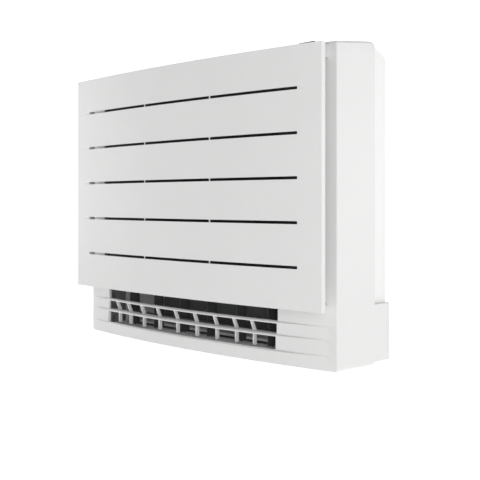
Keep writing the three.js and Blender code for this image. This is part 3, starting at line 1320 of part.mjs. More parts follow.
function receiverHousing() {
  const body = slab(
    receiverLeft, receiverRight, () => RECEIVER_FRONT, (x) => faceY(x, UPPER_FACE) - FIT,
    RECEIVER_BOTTOM, RECEIVER_TOP,
  );
  const hollow = slab(
    receiverLeft + RECEIVER_WALL, receiverRight - RECEIVER_WALL,
    () => RECEIVER_FRONT + RECEIVER_WALL, (x) => faceY(x, UPPER_FACE) - FIT - RECEIVER_WALL,
    RECEIVER_BOTTOM + RECEIVER_WALL, RECEIVER_TOP + 1,
  );
  const seat = box(
    LENS_X - LENS_WIDTH / 2 - 4, LENS_X + LENS_WIDTH / 2 + 4, RECEIVER_FRONT + 1, LENS_FRONT + 3,
    RECEIVER_BOTTOM + 1, RECEIVER_TOP,
  );
  return join(cut(body, hollow), seat);
}

place('receiver_housing', receiverHousing(), INNER_WHITE);

const DISPLAY_Z = RECEIVER_TOP - 8;

function displayBoard() {
  const x0 = receiverLeft + RECEIVER_WALL + FIT;
  const x1 = receiverRight - RECEIVER_WALL - FIT;
  const y0 = LENS_FRONT + 3 + FIT;
  const board = box(x0, x1, y0, LENS_REAR, DISPLAY_Z, DISPLAY_Z + 1.6);
  const lamps = [0, 1, 2].map((i) => rodZ(2, DISPLAY_Z + 1, DISPLAY_Z + 6, LENS_X - 9 + 9 * i, y0 + 8, 10));
  return join(board, ...lamps);
}

place('display_board', displayBoard(), BOARD);

function displayLens() {
  const bottom = RECEIVER_TOP + FIT;
  const x0 = LENS_X - LENS_WIDTH / 2;
  const x1 = LENS_X + LENS_WIDTH / 2;
  return side([
    [LENS_FRONT, bottom],
    [LENS_REAR, bottom],
    [LENS_REAR, LENS_TOP - 1],
    [LENS_FRONT + 6, LENS_TOP],
    [LENS_FRONT + 1, LENS_TOP - 1.4],
  ], x0, x1);
}

place('display_lens', displayLens(), LENS);

function operationButton() {
  const top = topZ(BUTTON_Y) + BUTTON_PROUD;
  return rodZ(BUTTON_R, top - BUTTON_LENGTH, top, BUTTON_X, BUTTON_Y, 24);
}

place('operation_button', operationButton(), WHITE);

export default object;
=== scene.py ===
"""Floor standing room air conditioner: the looks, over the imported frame.

Lengths are in millimetres until a mesh is made, where they become metres.
X runs to the right of somebody facing the unit, Y from the room to the wall, Z up.
"""

import math

import bmesh
import bpy
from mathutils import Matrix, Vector


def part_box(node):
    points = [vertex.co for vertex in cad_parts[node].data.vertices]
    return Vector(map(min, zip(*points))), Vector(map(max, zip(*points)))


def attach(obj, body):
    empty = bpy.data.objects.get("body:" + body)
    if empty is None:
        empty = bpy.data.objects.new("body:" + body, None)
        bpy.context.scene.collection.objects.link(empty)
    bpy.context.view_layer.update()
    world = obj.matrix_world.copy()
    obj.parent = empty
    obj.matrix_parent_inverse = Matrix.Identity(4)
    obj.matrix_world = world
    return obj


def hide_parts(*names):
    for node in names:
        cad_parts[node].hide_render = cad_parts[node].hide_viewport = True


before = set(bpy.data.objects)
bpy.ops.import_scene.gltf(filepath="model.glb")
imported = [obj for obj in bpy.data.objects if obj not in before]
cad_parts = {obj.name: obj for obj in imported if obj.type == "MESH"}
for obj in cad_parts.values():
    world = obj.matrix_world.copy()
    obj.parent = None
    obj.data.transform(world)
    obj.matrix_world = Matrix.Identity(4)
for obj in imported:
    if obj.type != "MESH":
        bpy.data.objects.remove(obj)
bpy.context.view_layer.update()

# ---------------------------------------------------------------- sizes, as in the CAD

MM = 0.001
HALF_WIDTH = 375.0
HEIGHT = 600.0
FIT = 0.3

# Casing
CORNER_Y = -57.0
FACE_BOW = 28.9
CASING_WALL = 3.0
SIDE_REAR_Y = 52.0
TOP_LEVEL_Y = 38.0
TOP_SLOPE = 0.111
TOP_REAR_RADIUS = 8.0
REAR_LIP_BOTTOM = 570.0
LEDGE_STEP = 3.0
LEDGE_TOPS = (26.5, 55.5, 79.5)
LOWER_TOP = 104.0
OUTLET_LEFT, OUTLET_RIGHT = -304.0, 238.0
INLETS = ((-318.0, -36.0), (-30.0, 252.0))
INLET_BOTTOM, INLET_TOP = 130.0, 530.0
NOZZLE_LEFT, NOZZLE_RIGHT = -302.2, 236.2
UPPER_FRONT_Y, UPPER_REAR_Y = -25.0, 38.5
FLOW_X = -33.0
ROOT = 1.5  # how far an added piece reaches into the wall that it grows from
FACE_STEP = 18.75  # widest straight piece along the casing's bowed face
CURVE_STEP = 18.0  # and along a thin bowed bar

# Filters and their rails
FILTER_THICK = 4.0
FILTER_OVERLAP = 5.0
FILTER_FOOT, FILTER_TOP = 125.0, 535.0
RAIL_THICK = 2.5
RAIL_LIP = 6.0
RAIL_FOOT, RAIL_TOP = 122.2, 553.3
RAIL_OFFSET = FILTER_OVERLAP + FIT + RAIL_THICK / 2

# Button and casing screws
BUTTON_X, BUTTON_Y = 338.0, -25.0
BUTTON_BORE_R = 6.4
BUTTON_BOSS_R = 8.9
SCREW_X, SCREW_Z = 350.0, 118.0
SCREW_HOLE_R = 2.3
SCREW_HEAD = 2.5

# Flap
FLAP_LEFT, FLAP_RIGHT = -300.9, 234.9
FLAP_AXIS_Y, FLAP_AXIS_Z = 12.0, 583.0
FLAP_PIN_ENDS = (-303.6, 243.8)
FLAP_SKIN = 2.6

# Grille
GRILLE_BAR = 5.0
GRILLE_RIB_MIDDLE = -51.5
GRILLE_RIB_PITCH = 62.5
GRILLE_RIB_CLOSE_UP = 0.42  # the outer ribs stand a little closer to the middle
GRILLE_RIBS_EACH_SIDE = 4
GRILLE_RIB_HALF = 1.5

# Panel
PANEL_BOTTOM, PANEL_TOP = 109.0, 583.4
PANEL_FRONT_CORNER_Y = -99.4
PANEL_BOW = 19.6
PANEL_SKIN = 3.0
PANEL_RIM_DEPTH = 10.0
PANEL_RIM_WALL = 2.5
SLOT_ROWS = [185.6 + 80.2 * k for k in range(5)]
SLOT_HALF = 2.75
ROW_MARGIN = 1.5  # a row of faces keeps this far from a slot's edge
TAIL_NARROWS = 0.6
TAIL_DEPTH_LEFT, TAIL_DEPTH_RIGHT = 1.6, 0.5
SLOT_END = 322.0
SLOT_TAIL_END = 357.0
END_RIB_X = SLOT_END + 3.0
END_RIB_HALF = 0.8
END_RIB_DEPTH = 17.0
BRIDGE_X = 102.0
BRIDGE_HALF = 1.5
BRIDGE_SUNK = 2.2
HINGE_X, HINGE_Y, HINGE_Z = 290.0, -84.0, 120.0
HINGE_PIN_R = 2.5
HINGE_BORE_R = 2.9
PANEL_ARM_R, CASING_ARM_R = 5.0, 5.5
CATCH_X, CATCH_Z = 262.0, 563.0
PANEL_ROOT = 2.0  # how deep the panel's fittings start behind its front


def bow(x, corner_y, rise):
    return corner_y - rise * (1 - (x / HALF_WIDTH) ** 2)


def ledge_share(x):
    """How much of a ledge is left at x: all over the outlet, none at the corners."""
    room = HALF_WIDTH - OUTLET_RIGHT if x > 0 else HALF_WIDTH + OUTLET_LEFT
    t = max(0.0, min(1.0, (HALF_WIDTH - abs(x)) / room))
    return t * t * (3 - 2 * t)


def face_y(x, ledges):
    return bow(x, CORNER_Y, FACE_BOW) + LEDGE_STEP * ledges * ledge_share(x)


def inner_face_y(x):
    return face_y(x, 3) + CASING_WALL


def panel_y(x):
    return bow(x, PANEL_FRONT_CORNER_Y, PANEL_BOW)


def top_z(y):
    return min(HEIGHT, HEIGHT - (TOP_LEVEL_Y - y) * TOP_SLOPE)


def spread(low, high, step):
    """Values from low to high, at most a step apart."""
    count = max(1, math.ceil((high - low) / step - 1e-6))
    return [low + (high - low) * i / count for i in range(count + 1)]


def lines(breaks, step):
    """Sorted grid lines through every break, filled in to a step apart."""
    breaks = sorted(set(round(b, 4) for b in breaks))
    out = [breaks[0]]
    for low, high in zip(breaks, breaks[1:]):
        out += spread(low, high, step)[1:]
    return out


def arc(cy, cz, radius, start, end, steps=6):
    angles = [math.radians(start + (end - start) * i / steps) for i in range(steps + 1)]
    return [(cy + radius * math.cos(a), cz + radius * math.sin(a)) for a in angles]


# ---------------------------------------------------------------- meshes


class Faces:
    """Faces given by their corners, in millimetres. Corners at one place become one vertex."""

    def __init__(self):
        self.points = []
        self.index = {}
        self.rings = []

    def corner(self, point):
        key = tuple(round(c, 3) for c in point)
        if key not in self.index:
            self.index[key] = len(self.points)
            self.points.append(key)
        return self.index[key]

    def face(self, *corners):
        ring = []
        for i in map(self.corner, corners):
            if i not in ring:
                ring.append(i)
        if len(ring) > 2:
            self.rings.append(ring)

    def sheet(self, rows):
        """Quads between neighbouring rows of corners."""
        for low, high in zip(rows, rows[1:]):
            for a, b, c, d in zip(low, low[1:], high[1:], high):
                self.face(a, b, c, d)

    def loft(self, sections):
        """A solid skin through closed sections, with both ends filled."""
        self.sheet([[*s, s[0]] for s in sections])
        self.face(*sections[0])
        self.face(*reversed(sections[-1]))

    def prism(self, outline, x0, x1):
        """A side outline of (y, z) pulled across in X."""
        self.loft([[(x, y, z) for y, z in outline] for x in (x0, x1)])

    def block(self, x0, x1, y0, y1, z0, z1):
        self.prism([(y0, z0), (y1, z0), (y1, z1), (y0, z1)], x0, x1)

    def slab(self, x0, x1, near, far, z0, z1, step=25.0):
        """A block whose front and rear follow curves of x."""
        self.loft([
            [(x, near(x), z0), (x, far(x), z0), (x, far(x), z1), (x, near(x), z1)]
            for x in spread(x0, x1, step)
        ])

    def rod(self, radius, start, end, sides=20):
        start, end = Vector(start), Vector(end)
        turn = (end - start).to_track_quat("Z", "Y")
        ring = [
            turn @ Vector((math.cos(a) * radius, math.sin(a) * radius, 0))
            for a in (2 * math.pi * i / sides for i in range(sides))
        ]
        self.loft([[tuple(p + r) for r in ring] for p in (start, end)])

    def lathe(self, profile, centre, sides=48):
        """A closed profile of (radius, z) turned about an upright axis."""
        cx, cy = centre
        for i in range(sides):
            a, b = (2 * math.pi * (i + k) / sides for k in (0, 1))
            for (r0, z0), (r1, z1) in zip(profile, [*profile[1:], profile[0]]):
                self.face(*[
                    (cx + r * math.cos(t), cy + r * math.sin(t), z)
                    for r, z, t in ((r0, z0, a), (r1, z1, a), (r1, z1, b), (r0, z0, b))
                ])

    def make(self, name):
        mesh = bpy.data.meshes.new(name)
        mesh.from_pydata([[c * MM for c in p] for p in self.points], [], self.rings)
        work = bmesh.new()
        work.from_mesh(mesh)
        bmesh.ops.recalc_face_normals(work, faces=work.faces)
        work.to_mesh(mesh)
        work.free()
        piece = bpy.data.objects.new(name, mesh)
        bpy.context.scene.collection.objects.link(piece)
        return piece


def bake(piece):
    """Puts what the modifiers make into the piece's own mesh."""
    graph = bpy.context.evaluated_depsgraph_get()
    done = bpy.data.meshes.new_from_object(piece.evaluated_get(graph))
    piece.modifiers.clear()
    old, piece.data = piece.data, done
    bpy.data.meshes.remove(old)
    done.name = piece.name


def combine(piece, operation, *others):
    for other in others:
        step = piece.modifiers.new("combine", "BOOLEAN")
        step.solver = "MANIFOLD"
        step.operation = operation
        step.object = other
    bake(piece)
    for other in others:
        bpy.data.objects.remove(other)


def smooth(mesh):
    for polygon in mesh.polygons:
        polygon.use_smooth = True
    if "custom_normal" in mesh.attributes:
        mesh.attributes.remove(mesh.attributes["custom_normal"])


WELD_REACH = 0.00001  # metres
FLAT_ANGLE = 1.0  # degrees


def soften(piece, width, segments=2, angle=34.0, weld=False, flatten=False):
    """Rounds the sharp edges, as a moulding or a pressing has them."""
    if weld:
        joined = piece.modifiers.new("joined", "WELD")
        joined.merge_threshold = WELD_REACH
    if flatten:
        plane = piece.modifiers.new("plane", "DECIMATE")
        plane.decimate_type = "DISSOLVE"
        plane.angle_limit = math.radians(FLAT_ANGLE)
    edge = piece.modifiers.new("edge", "BEVEL")
    edge.width = width * MM
    edge.segments = segments
    edge.limit_method = "ANGLE"
    edge.angle_limit = math.radians(angle)
    edge.harden_normals = True
    edge.use_clamp_overlap = True
    edge.miter_outer = "MITER_ARC"
    smooth(piece.data)


# ---------------------------------------------------------------- finishes


class Finish:
    """A procedural material on object coordinates."""

    def __init__(self, name, roughness, metallic=0.0, ior=1.46):
        self.material = bpy.data.materials.new(name)
        self.material.use_nodes = True
        self.tree = self.material.node_tree
        self.tree.nodes.clear()
        self.shader = self.add("ShaderNodeBsdfPrincipled")
        self.shader.inputs["Roughness"].default_value = roughness
        self.shader.inputs["Metallic"].default_value = metallic
        self.shader.inputs["IOR"].default_value = ior
        out = self.add("ShaderNodeOutputMaterial")
        self.join(self.shader.outputs["BSDF"], out.inputs["Surface"])
        self.place = self.add("ShaderNodeTexCoord").outputs["Object"]

    def add(self, kind, **settings):
        node = self.tree.nodes.new(kind)
        for key, value in settings.items():
            setattr(node, key, value)
        return node

    def join(self, start, end):
        self.tree.links.new(start, end)

    def stretched(self, scale):
        node = self.add("ShaderNodeMapping")
        node.inputs["Scale"].default_value = scale
        self.join(self.place, node.inputs["Vector"])
        return node.outputs["Vector"]

    def noise(self, scale, detail, stretch=None):
        node = self.add("ShaderNodeTexNoise")
        node.inputs["Scale"].default_value = scale
        node.inputs["Detail"].default_value = detail
        self.join(self.stretched(stretch) if stretch else self.place, node.inputs["Vector"])
        return node.outputs["Fac"]

    def cells(self, scale, output="Distance"):
        node = self.add("ShaderNodeTexVoronoi")
        node.inputs["Scale"].default_value = scale
        self.join(self.place, node.inputs["Vector"])
        return node.outputs[output]

    def remap(self, value, low, high, to_low=0.0, to_high=1.0):
        node = self.add("ShaderNodeMapRange")
        for key, number in (
            ("From Min", low), ("From Max", high), ("To Min", to_low), ("To Max", to_high),
        ):
            node.inputs[key].default_value = number
        self.join(value, node.inputs["Value"])
        return node.outputs["Result"]

    def blend(self, factor, first, second):
        node = self.add("ShaderNodeMix", data_type="RGBA")
        self.join(factor, node.inputs["Factor"])
        for key, colour in (("A", first), ("B", second)):
            socket = [s for s in node.inputs if s.name == key and s.type == "RGBA"][0]
            if isinstance(colour, tuple):
                socket.default_value = (*colour, 1.0)
            else:
                self.join(colour, socket)
        return [s for s in node.outputs if s.type == "RGBA"][0]

    def colour(self, value):
        self.join(value, self.shader.inputs["Base Color"])

    def roughness(self, value):
        self.join(value, self.shader.inputs["Roughness"])

    def relief(self, height, depth):
        node = self.add("ShaderNodeBump")
        node.inputs["Strength"].default_value = 1.0
        node.inputs["Distance"].default_value = depth * MM
        self.join(height, node.inputs["Height"])
        self.join(node.outputs["Normal"], self.shader.inputs["Normal"])


def shade(colour, factor):
    return tuple(c * factor for c in colour)


def moulded(name, colour, roughness, grain=900.0, depth=0.02, mottle=0.02):
    """Injection moulded plastic with a fine spark-eroded grain."""
    finish = Finish(name, roughness)
    wide = finish.noise(9.0, 3.0)
    finish.colour(finish.blend(
        finish.remap(wide, 0.35, 0.65), shade(colour, 1 - mottle), shade(colour, 1 + mottle),
    ))
    fine = finish.noise(grain, 2.0)
    finish.roughness(finish.remap(fine, 0.3, 0.7, roughness - 0.05, roughness + 0.05))
    finish.relief(fine, depth)
    return finish


SHELL_WHITE = (0.80, 0.80, 0.795)
INNER_WHITE = (0.70, 0.705, 0.70)
LINING_WHITE = (0.9, 0.9, 0.895)
# painted shade inside the lower duct, away from its mouth
DUCT_SHADE_GREY = (0.17, 0.174, 0.18)
FRAME_WHITE = (0.88, 0.88, 0.875)

white_shell = moulded("white_shell", SHELL_WHITE, 0.42, mottle=0.006).material
frame_white = moulded("frame_white", FRAME_WHITE, 0.45, mottle=0.006).material
inner_white = moulded("inner_white", INNER_WHITE, 0.55, 700.0, 0.03).material
dark_plastic = moulded("dark_plastic", (0.024, 0.026, 0.028), 0.55, 800.0, 0.04, 0.1).material
fan_grey = moulded("fan_grey", (0.26, 0.28, 0.29), 0.5, 600.0, 0.03, 0.05).material
# painted shade: the lower vanes, deep in the shaded duct, are coloured dark grey
vane_shade_grey = moulded("vane_shade_grey", (0.07, 0.072, 0.076), 0.5, 700.0, 0.03, 0.03).material
shutter_white = moulded("shutter_white", (0.86, 0.865, 0.86), 0.5, 700.0, 0.03, 0.03).material
# dark plastic of the filter frames, also laid on the casing and on the panel's end ribs as painted
# shade
filter_frame_and_shade = moulded("filter_frame_and_shade", (0.045, 0.048, 0.052), 0.6, 900.0, 0.03, 0.08).material


# Where the duct's painted shade fades in, in metres: along its walls, above its floor, on its floor
SHADE_WALL_Y = (-0.056, -0.053)
SHADE_WALL_Z = (0.0215, 0.024)
SHADE_FLOOR_Y = (-0.016, -0.008)
SHADE_EDGE_WANDER = 0.004


def duct_finish():
    """White at the mouth and along the front of the floor, where light reaches, and painted shade in
    dark grey further in.
    """
    finish = moulded("duct_lining_and_shade", LINING_WHITE, 0.6, 500.0, 0.05)
    parts = finish.add("ShaderNodeSeparateXYZ")
    finish.join(finish.place, parts.inputs["Vector"])
    wander = finish.add("ShaderNodeMath", operation="MULTIPLY_ADD")
    finish.join(finish.noise(60.0, 2.0), wander.inputs[0])
    wander.inputs[1].default_value = SHADE_EDGE_WANDER
    finish.join(parts.outputs["Y"], wander.inputs[2])
    wall = finish.add("ShaderNodeMath", operation="MULTIPLY")
    finish.join(finish.remap(wander.outputs[0], *SHADE_WALL_Y), wall.inputs[0])
    finish.join(finish.remap(parts.outputs["Z"], *SHADE_WALL_Z), wall.inputs[1])
    duct_shade = finish.add("ShaderNodeMath", operation="MAXIMUM")
    finish.join(wall.outputs[0], duct_shade.inputs[0])
    finish.join(finish.remap(wander.outputs[0], *SHADE_FLOOR_Y), duct_shade.inputs[1])
    finish.colour(finish.blend(duct_shade.outputs[0], LINING_WHITE, DUCT_SHADE_GREY))
    return finish.material


def foam_finish():
    finish = Finish("expanded_foam", 0.85)
    beads = finish.cells(260.0)
    finish.colour(finish.blend(
        finish.remap(beads, 0.1, 0.7), (0.84, 0.84, 0.82), (0.66, 0.66, 0.64),
    ))
    finish.relief(beads, -0.5)
    return finish.material


def net_finish():
    finish = Finish("filter_net", 0.7)
    weave = finish.noise(2200.0, 1.0)
    finish.colour(finish.blend(weave, (0.02, 0.022, 0.025), (0.07, 0.075, 0.08)))
    finish.relief(weave, 0.05)
    return finish.material


def steel_finish(name, colour, roughness):
    """Zinc coated sheet: spangles and a faint rolling grain."""
    finish = Finish(name, roughness, 1.0)
    spangle = finish.cells(95.0, "Color")
    grey = finish.add("ShaderNodeSeparateColor")
    finish.join(spangle, grey.inputs["Color"])
    tone = grey.outputs[0]
    finish.colour(finish.blend(tone, shade(colour, 0.8), shade(colour, 1.1)))
    finish.roughness(finish.remap(tone, 0.0, 1.0, roughness - 0.08, roughness + 0.1))
    finish.relief(finish.noise(1.0, 3.0, (900.0, 900.0, 60.0)), 0.03)
    return finish.material


def fin_finish():
    finish = Finish("fin_aluminium", 0.35, 1.0)
    finish.colour(finish.blend(finish.noise(40.0, 3.0), (0.72, 0.75, 0.78), (0.88, 0.9, 0.92)))
    finish.relief(finish.noise(1.0, 2.0, (400.0, 400.0, 3000.0)), 0.04)
    return finish.material


def rubbed_metal(name, colour, tarnish, roughness):
    finish = Finish(name, roughness, 1.0)
    cloud = finish.noise(70.0, 5.0)
    finish.colour(finish.blend(finish.remap(cloud, 0.35, 0.75), colour, tarnish))
    finish.roughness(finish.remap(cloud, 0.3, 0.8, roughness - 0.1, roughness + 0.2))
    finish.relief(finish.noise(1200.0, 2.0), 0.02)
    return finish.material


def board_finish():
    """Green solder mask over copper tracks, with tinned lands."""
    finish = Finish("circuit_board", 0.4)
    tracks = finish.add("ShaderNodeTexBrick")
    finish.join(finish.stretched((160.0, 1.0, 160.0)), tracks.inputs["Vector"])
    tracks.inputs["Scale"].default_value = 1.0
    tracks.inputs["Mortar Size"].default_value = 0.06
    tracks.inputs["Color1"].default_value = (0.016, 0.09, 0.04, 1)
    tracks.inputs["Color2"].default_value = (0.02, 0.11, 0.05, 1)
    tracks.inputs["Mortar"].default_value = (0.05, 0.2, 0.09, 1)
    lands = finish.remap(finish.cells(210.0), 0.12, 0.16)
    finish.colour(finish.blend(lands, (0.6, 0.58, 0.5), tracks.outputs["Color"]))
    finish.relief(tracks.outputs["Fac"], 0.05)
    return finish.material


def lens_finish():
    finish = Finish("dark_lens", 0.2, ior=1.35)
    finish.colour(finish.blend(
        finish.noise(30.0, 2.0), (0.004, 0.004, 0.006), (0.012, 0.01, 0.014),
    ))
    finish.roughness(finish.remap(finish.noise(400.0, 3.0), 0.3, 0.7, 0.16, 0.26))
    finish.relief(finish.noise(120.0, 1.0), 0.01)
    return finish.material


duct_lining_and_shade = duct_finish()
pan_foam = foam_finish()
net_black = net_finish()
steel = steel_finish("zinc_steel", (0.62, 0.64, 0.66), 0.38)
bright_steel = rubbed_metal("bright_steel", (0.7, 0.71, 0.72), (0.5, 0.5, 0.5), 0.28)
coil_aluminium = fin_finish()
copper = rubbed_metal("copper", (0.75, 0.36, 0.2), (0.36, 0.16, 0.1), 0.3)
brass = rubbed_metal("brass", (0.75, 0.56, 0.25), (0.5, 0.36, 0.16), 0.3)
circuit_board = board_finish()
dark_lens = lens_finish()


def dress(piece, material):
    piece.data.materials.clear()
    piece.data.materials.append(material)
    for polygon in piece.data.polygons:
        polygon.material_index = 0


def mount(piece, body, slot, material, *nodes):
    """Gives a new piece its finish, its body and the CAD nodes that it stands for."""
    dress(piece, material)
    if nodes:
        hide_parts(*nodes)
    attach(piece, body)
    return piece


# ---------------------------------------------------------------- front panel


def tail_share(x):
    """How far along a slot's tail x lies: 0 at the slot's end, 1 where the tail has run out."""
    return max(0.0, min(1.0, (abs(x) - SLOT_END) / (SLOT_TAIL_END - SLOT_END)))


def slot_half(x):
    return SLOT_HALF * (1 - TAIL_NARROWS * tail_share(x))


def tail_depth(x):
    """The groove that runs a slot out towards the panel's edge."""
    if abs(x) < SLOT_END or abs(x) > SLOT_TAIL_END:
        return 0.0
    return (TAIL_DEPTH_RIGHT if x > 0 else TAIL_DEPTH_LEFT) * (1 - tail_share(x)) ** 1.5


def panel_skin():
    """The bowed plate with its slots, bridges and tails, and the rim round its rear."""
    inside = HALF_WIDTH - PANEL_RIM_WALL
    low, high = PANEL_BOTTOM + PANEL_RIM_WALL, PANEL_TOP - PANEL_RIM_WALL
    cuts = [SLOT_END, SLOT_TAIL_END, BRIDGE_X - BRIDGE_HALF, BRIDGE_X + BRIDGE_HALF]
    breaks = [-HALF_WIDTH, -inside, inside, HALF_WIDTH]
    tail = SLOT_TAIL_END - SLOT_END
    breaks += [way * (SLOT_END + tail * t) for way in (-1, 1) for t in (0.15, 0.3, 0.5, 0.75)]
    xs = lines(breaks + [way * c for way in (-1, 1) for c in cuts], 25.0)
    rows = [("edge", PANEL_BOTTOM), ("edge", low)]
    for z in SLOT_ROWS:
        rows += [(kind, z) for kind in ("below", "under", "middle", "over", "above")]
    rows += [("edge", high), ("edge", PANEL_TOP)]

    def height(x, row):
        kind, z = row
        half = slot_half(x)
        shift = {
            "below": -half - ROW_MARGIN, "under": -half, "over": half, "above": half + ROW_MARGIN,
        }
        return z + shift.get(kind, 0.0)

    def outer(x, row, sunk=0.0):
        dip = tail_depth(x) if row[0] == "middle" else 0.0
        return (x, panel_y(x) + dip + sunk, height(x, row))

    def inner(x, row):
        return (x, panel_y(x) + PANEL_SKIN, height(x, row))

    def rear(x, z):
        return (x, panel_y(x) + PANEL_RIM_DEPTH, z)

    def patch(corner_of, x0, x1, below, above, *sunk_by):
        """One cell of the outer or the inner skin."""
        faces.face(
            corner_of(x0, below, *sunk_by), corner_of(x1, below, *sunk_by),
            corner_of(x1, above, *sunk_by), corner_of(x0, above, *sunk_by),
        )

    def state(x0, x1, below, above):
        """skin, bridge or open, for the cell between two lines and two rows"""
        if "middle" not in (below[0], above[0]):
            return "skin"
        x = abs(x0 + x1) / 2
        if x > SLOT_END:
            return "skin"
        return "bridge" if abs(x - BRIDGE_X) < BRIDGE_HALF else "open"

    faces = Faces()
    sunk = {"skin": 0.0, "bridge": BRIDGE_SUNK}
    for below, above in zip(rows, rows[1:]):
        states = [state(a, b, below, above) for a, b in zip(xs, xs[1:])]
        for i, (x0, x1, here) in enumerate(zip(xs, xs[1:], states)):
            if here == "open":
                for row in (below, above):
                    if row[0] != "middle":
                        ring = [outer(x0, row), outer(x1, row), inner(x1, row), inner(x0, row)]
                        if states[i + 1] == "bridge":
                            ring.insert(2, outer(x1, row, sunk["bridge"]))
                        if states[i - 1] == "bridge":
                            ring.append(outer(x0, row, sunk["bridge"]))
                        faces.face(*ring)
                continue
            s = sunk[here]
            patch(outer, x0, x1, below, above, s)
            if here == "bridge":
                for row in (below, above):
                    if row[0] != "middle":
                        faces.face(
                            outer(x0, row), outer(x1, row), outer(x1, row, s), outer(x0, row, s),
                        )
        for i, x in enumerate(xs[1:-1]):
            left, right = states[i], states[i + 1]
            if left == right:
                continue
            depth = sunk.get(right if left == "open" else left, 0.0)
            faces.face(
                outer(x, below, depth), outer(x, above, depth), inner(x, above), inner(x, below),
            )
        if below[1] >= low and above[1] <= high:
            for x0, x1 in zip(xs, xs[1:]):
                if abs(x0) > inside + 0.01 or abs(x1) > inside + 0.01:
                    continue
                if state(x0, x1, below, above) != "open":
                    patch(inner, x0, x1, below, above)
        for way in (-1, 1):
            x, x_in = way * HALF_WIDTH, way * inside
            z0, z1 = height(x, below), height(x, above)
            faces.face(outer(x, below), outer(x, above), rear(x, z1), rear(x, z0))
            if below[1] >= low and above[1] <= high:
                z0, z1 = height(x_in, below), height(x_in, above)
                faces.face(
                    inner(x_in, below), inner(x_in, above), rear(x_in, z1), rear(x_in, z0),
                )
    # side strips of the rim's rear face: the row heights at the two lines agree past the tails
    for way in (-1, 1):
        x, x_in = way * HALF_WIDTH, way * inside
        for below, above in zip(rows, rows[1:]):
            if below[1] < low or above[1] > high:
                continue
            faces.face(
                rear(x, height(x, below)), rear(x, height(x, above)),
                rear(x_in, height(x_in, above)), rear(x_in, height(x_in, below)),
            )
    for x0, x1 in zip(xs, xs[1:]):
        for z, z_in, edge in ((PANEL_BOTTOM, low, rows[0]), (PANEL_TOP, high, rows[-1])):
            faces.face(outer(x0, edge), outer(x1, edge), rear(x1, z), rear(x0, z))
            faces.face(rear(x0, z), rear(x1, z), rear(x1, z_in), rear(x0, z_in))
            if abs(x0) <= inside + 0.01 and abs(x1) <= inside + 0.01:
                row = ("edge", z_in)
                faces.face(inner(x0, row), inner(x1, row), rear(x1, z_in), rear(x0, z_in))
    return faces


def panel_fittings():
    """Hinge arms with their pins, catch tongues, and the ribs that close the slots' ends behind."""
    fittings = []
    for way in (-1, 1):
        x = way * HINGE_X
        inner_x, outer_x = x - way * 8.5, x - way * 3.5
        root = panel_y(inner_x) + PANEL_ROOT
        arm = Faces()
        arm.prism(
            [(root, HINGE_Z - 5), *arc(HINGE_Y, HINGE_Z, PANEL_ARM_R, -90, 90, 12),
             (root, HINGE_Z + 12)],
            min(inner_x, outer_x), max(inner_x, outer_x),
        )
        fittings.append(arm.make("hinge_arm"))
        pin = Faces()
        pin.rod(
            HINGE_PIN_R, (outer_x - way * 0.5, HINGE_Y, HINGE_Z), (x + way * 5, HINGE_Y, HINGE_Z),
        )
        fittings.append(pin.make("hinge_pin"))
        tongue = Faces()
        x = way * CATCH_X
        tongue.loft([
            [(x + half * s, y, CATCH_Z + t * u) for s, u in ((-1, -1), (1, -1), (1, 1), (-1, 1))]
            for y, half, t in (
                (panel_y(x) + PANEL_ROOT, 6.0, 1.4), (-79.0, 6.0, 1.4), (-77.5, 5.6, 1.4),
                (-74.0, 4.6, 0.7),
            )
        ])
        fittings.append(tongue.make("catch_tongue"))
        rib = Faces()
        x = way * END_RIB_X
        rib.slab(
            x - END_RIB_HALF, x + END_RIB_HALF,
            lambda x: panel_y(x) + PANEL_ROOT, lambda x: panel_y(x) + END_RIB_DEPTH,
            SLOT_ROWS[0] - 14, SLOT_ROWS[-1] + 14,
        )
        fittings.append(rib.make("end_rib"))
    return fittings


def front_panel():
    panel = panel_skin().make("front_panel_moulding")
    combine(panel, "UNION", *panel_fittings())
    soften(panel, 0.6, 3, 32.0)
    mount(panel, "panel", "white_shell", white_shell, "front_panel")
    # painted shade: the end ribs' faces behind the skin take the dark material, for the shade seen
    # through the slots' ends
    panel.data.materials.append(filter_frame_and_shade)
    for polygon in panel.data.polygons:
        place = polygon.center / MM
        rib_in_painted_shade = abs(abs(place.x) - END_RIB_X) < END_RIB_HALF + 0.01
        if rib_in_painted_shade and place.y > panel_y(place.x) + PANEL_SKIN + 1:
            polygon.material_index = 1


front_panel()

# ---------------------------------------------------------------- front casing

SIDE_ROUND = 5.0
FRONT_ROUND = 2.0
FOOT_ROUND = {-1: 9.0, 1: 5.0}
ROUND_STEPS = 6
LEDGE_RISE, LEDGE_RISE_END = 2.6, 0.3  # height of a ledge's slope over the outlet, and at the corners
TOP_EDGE_R = 3.0
TOP_EDGE_STEPS = 4
TOP_REAR_STEPS = 6


def rounding(x, radius):
    """How far a round of this radius has fallen away at x, towards either side."""
    past = max(0.0, abs(x) - (HALF_WIDTH - radius))
    return radius - math.sqrt(max(0.0, radius ** 2 - past ** 2))


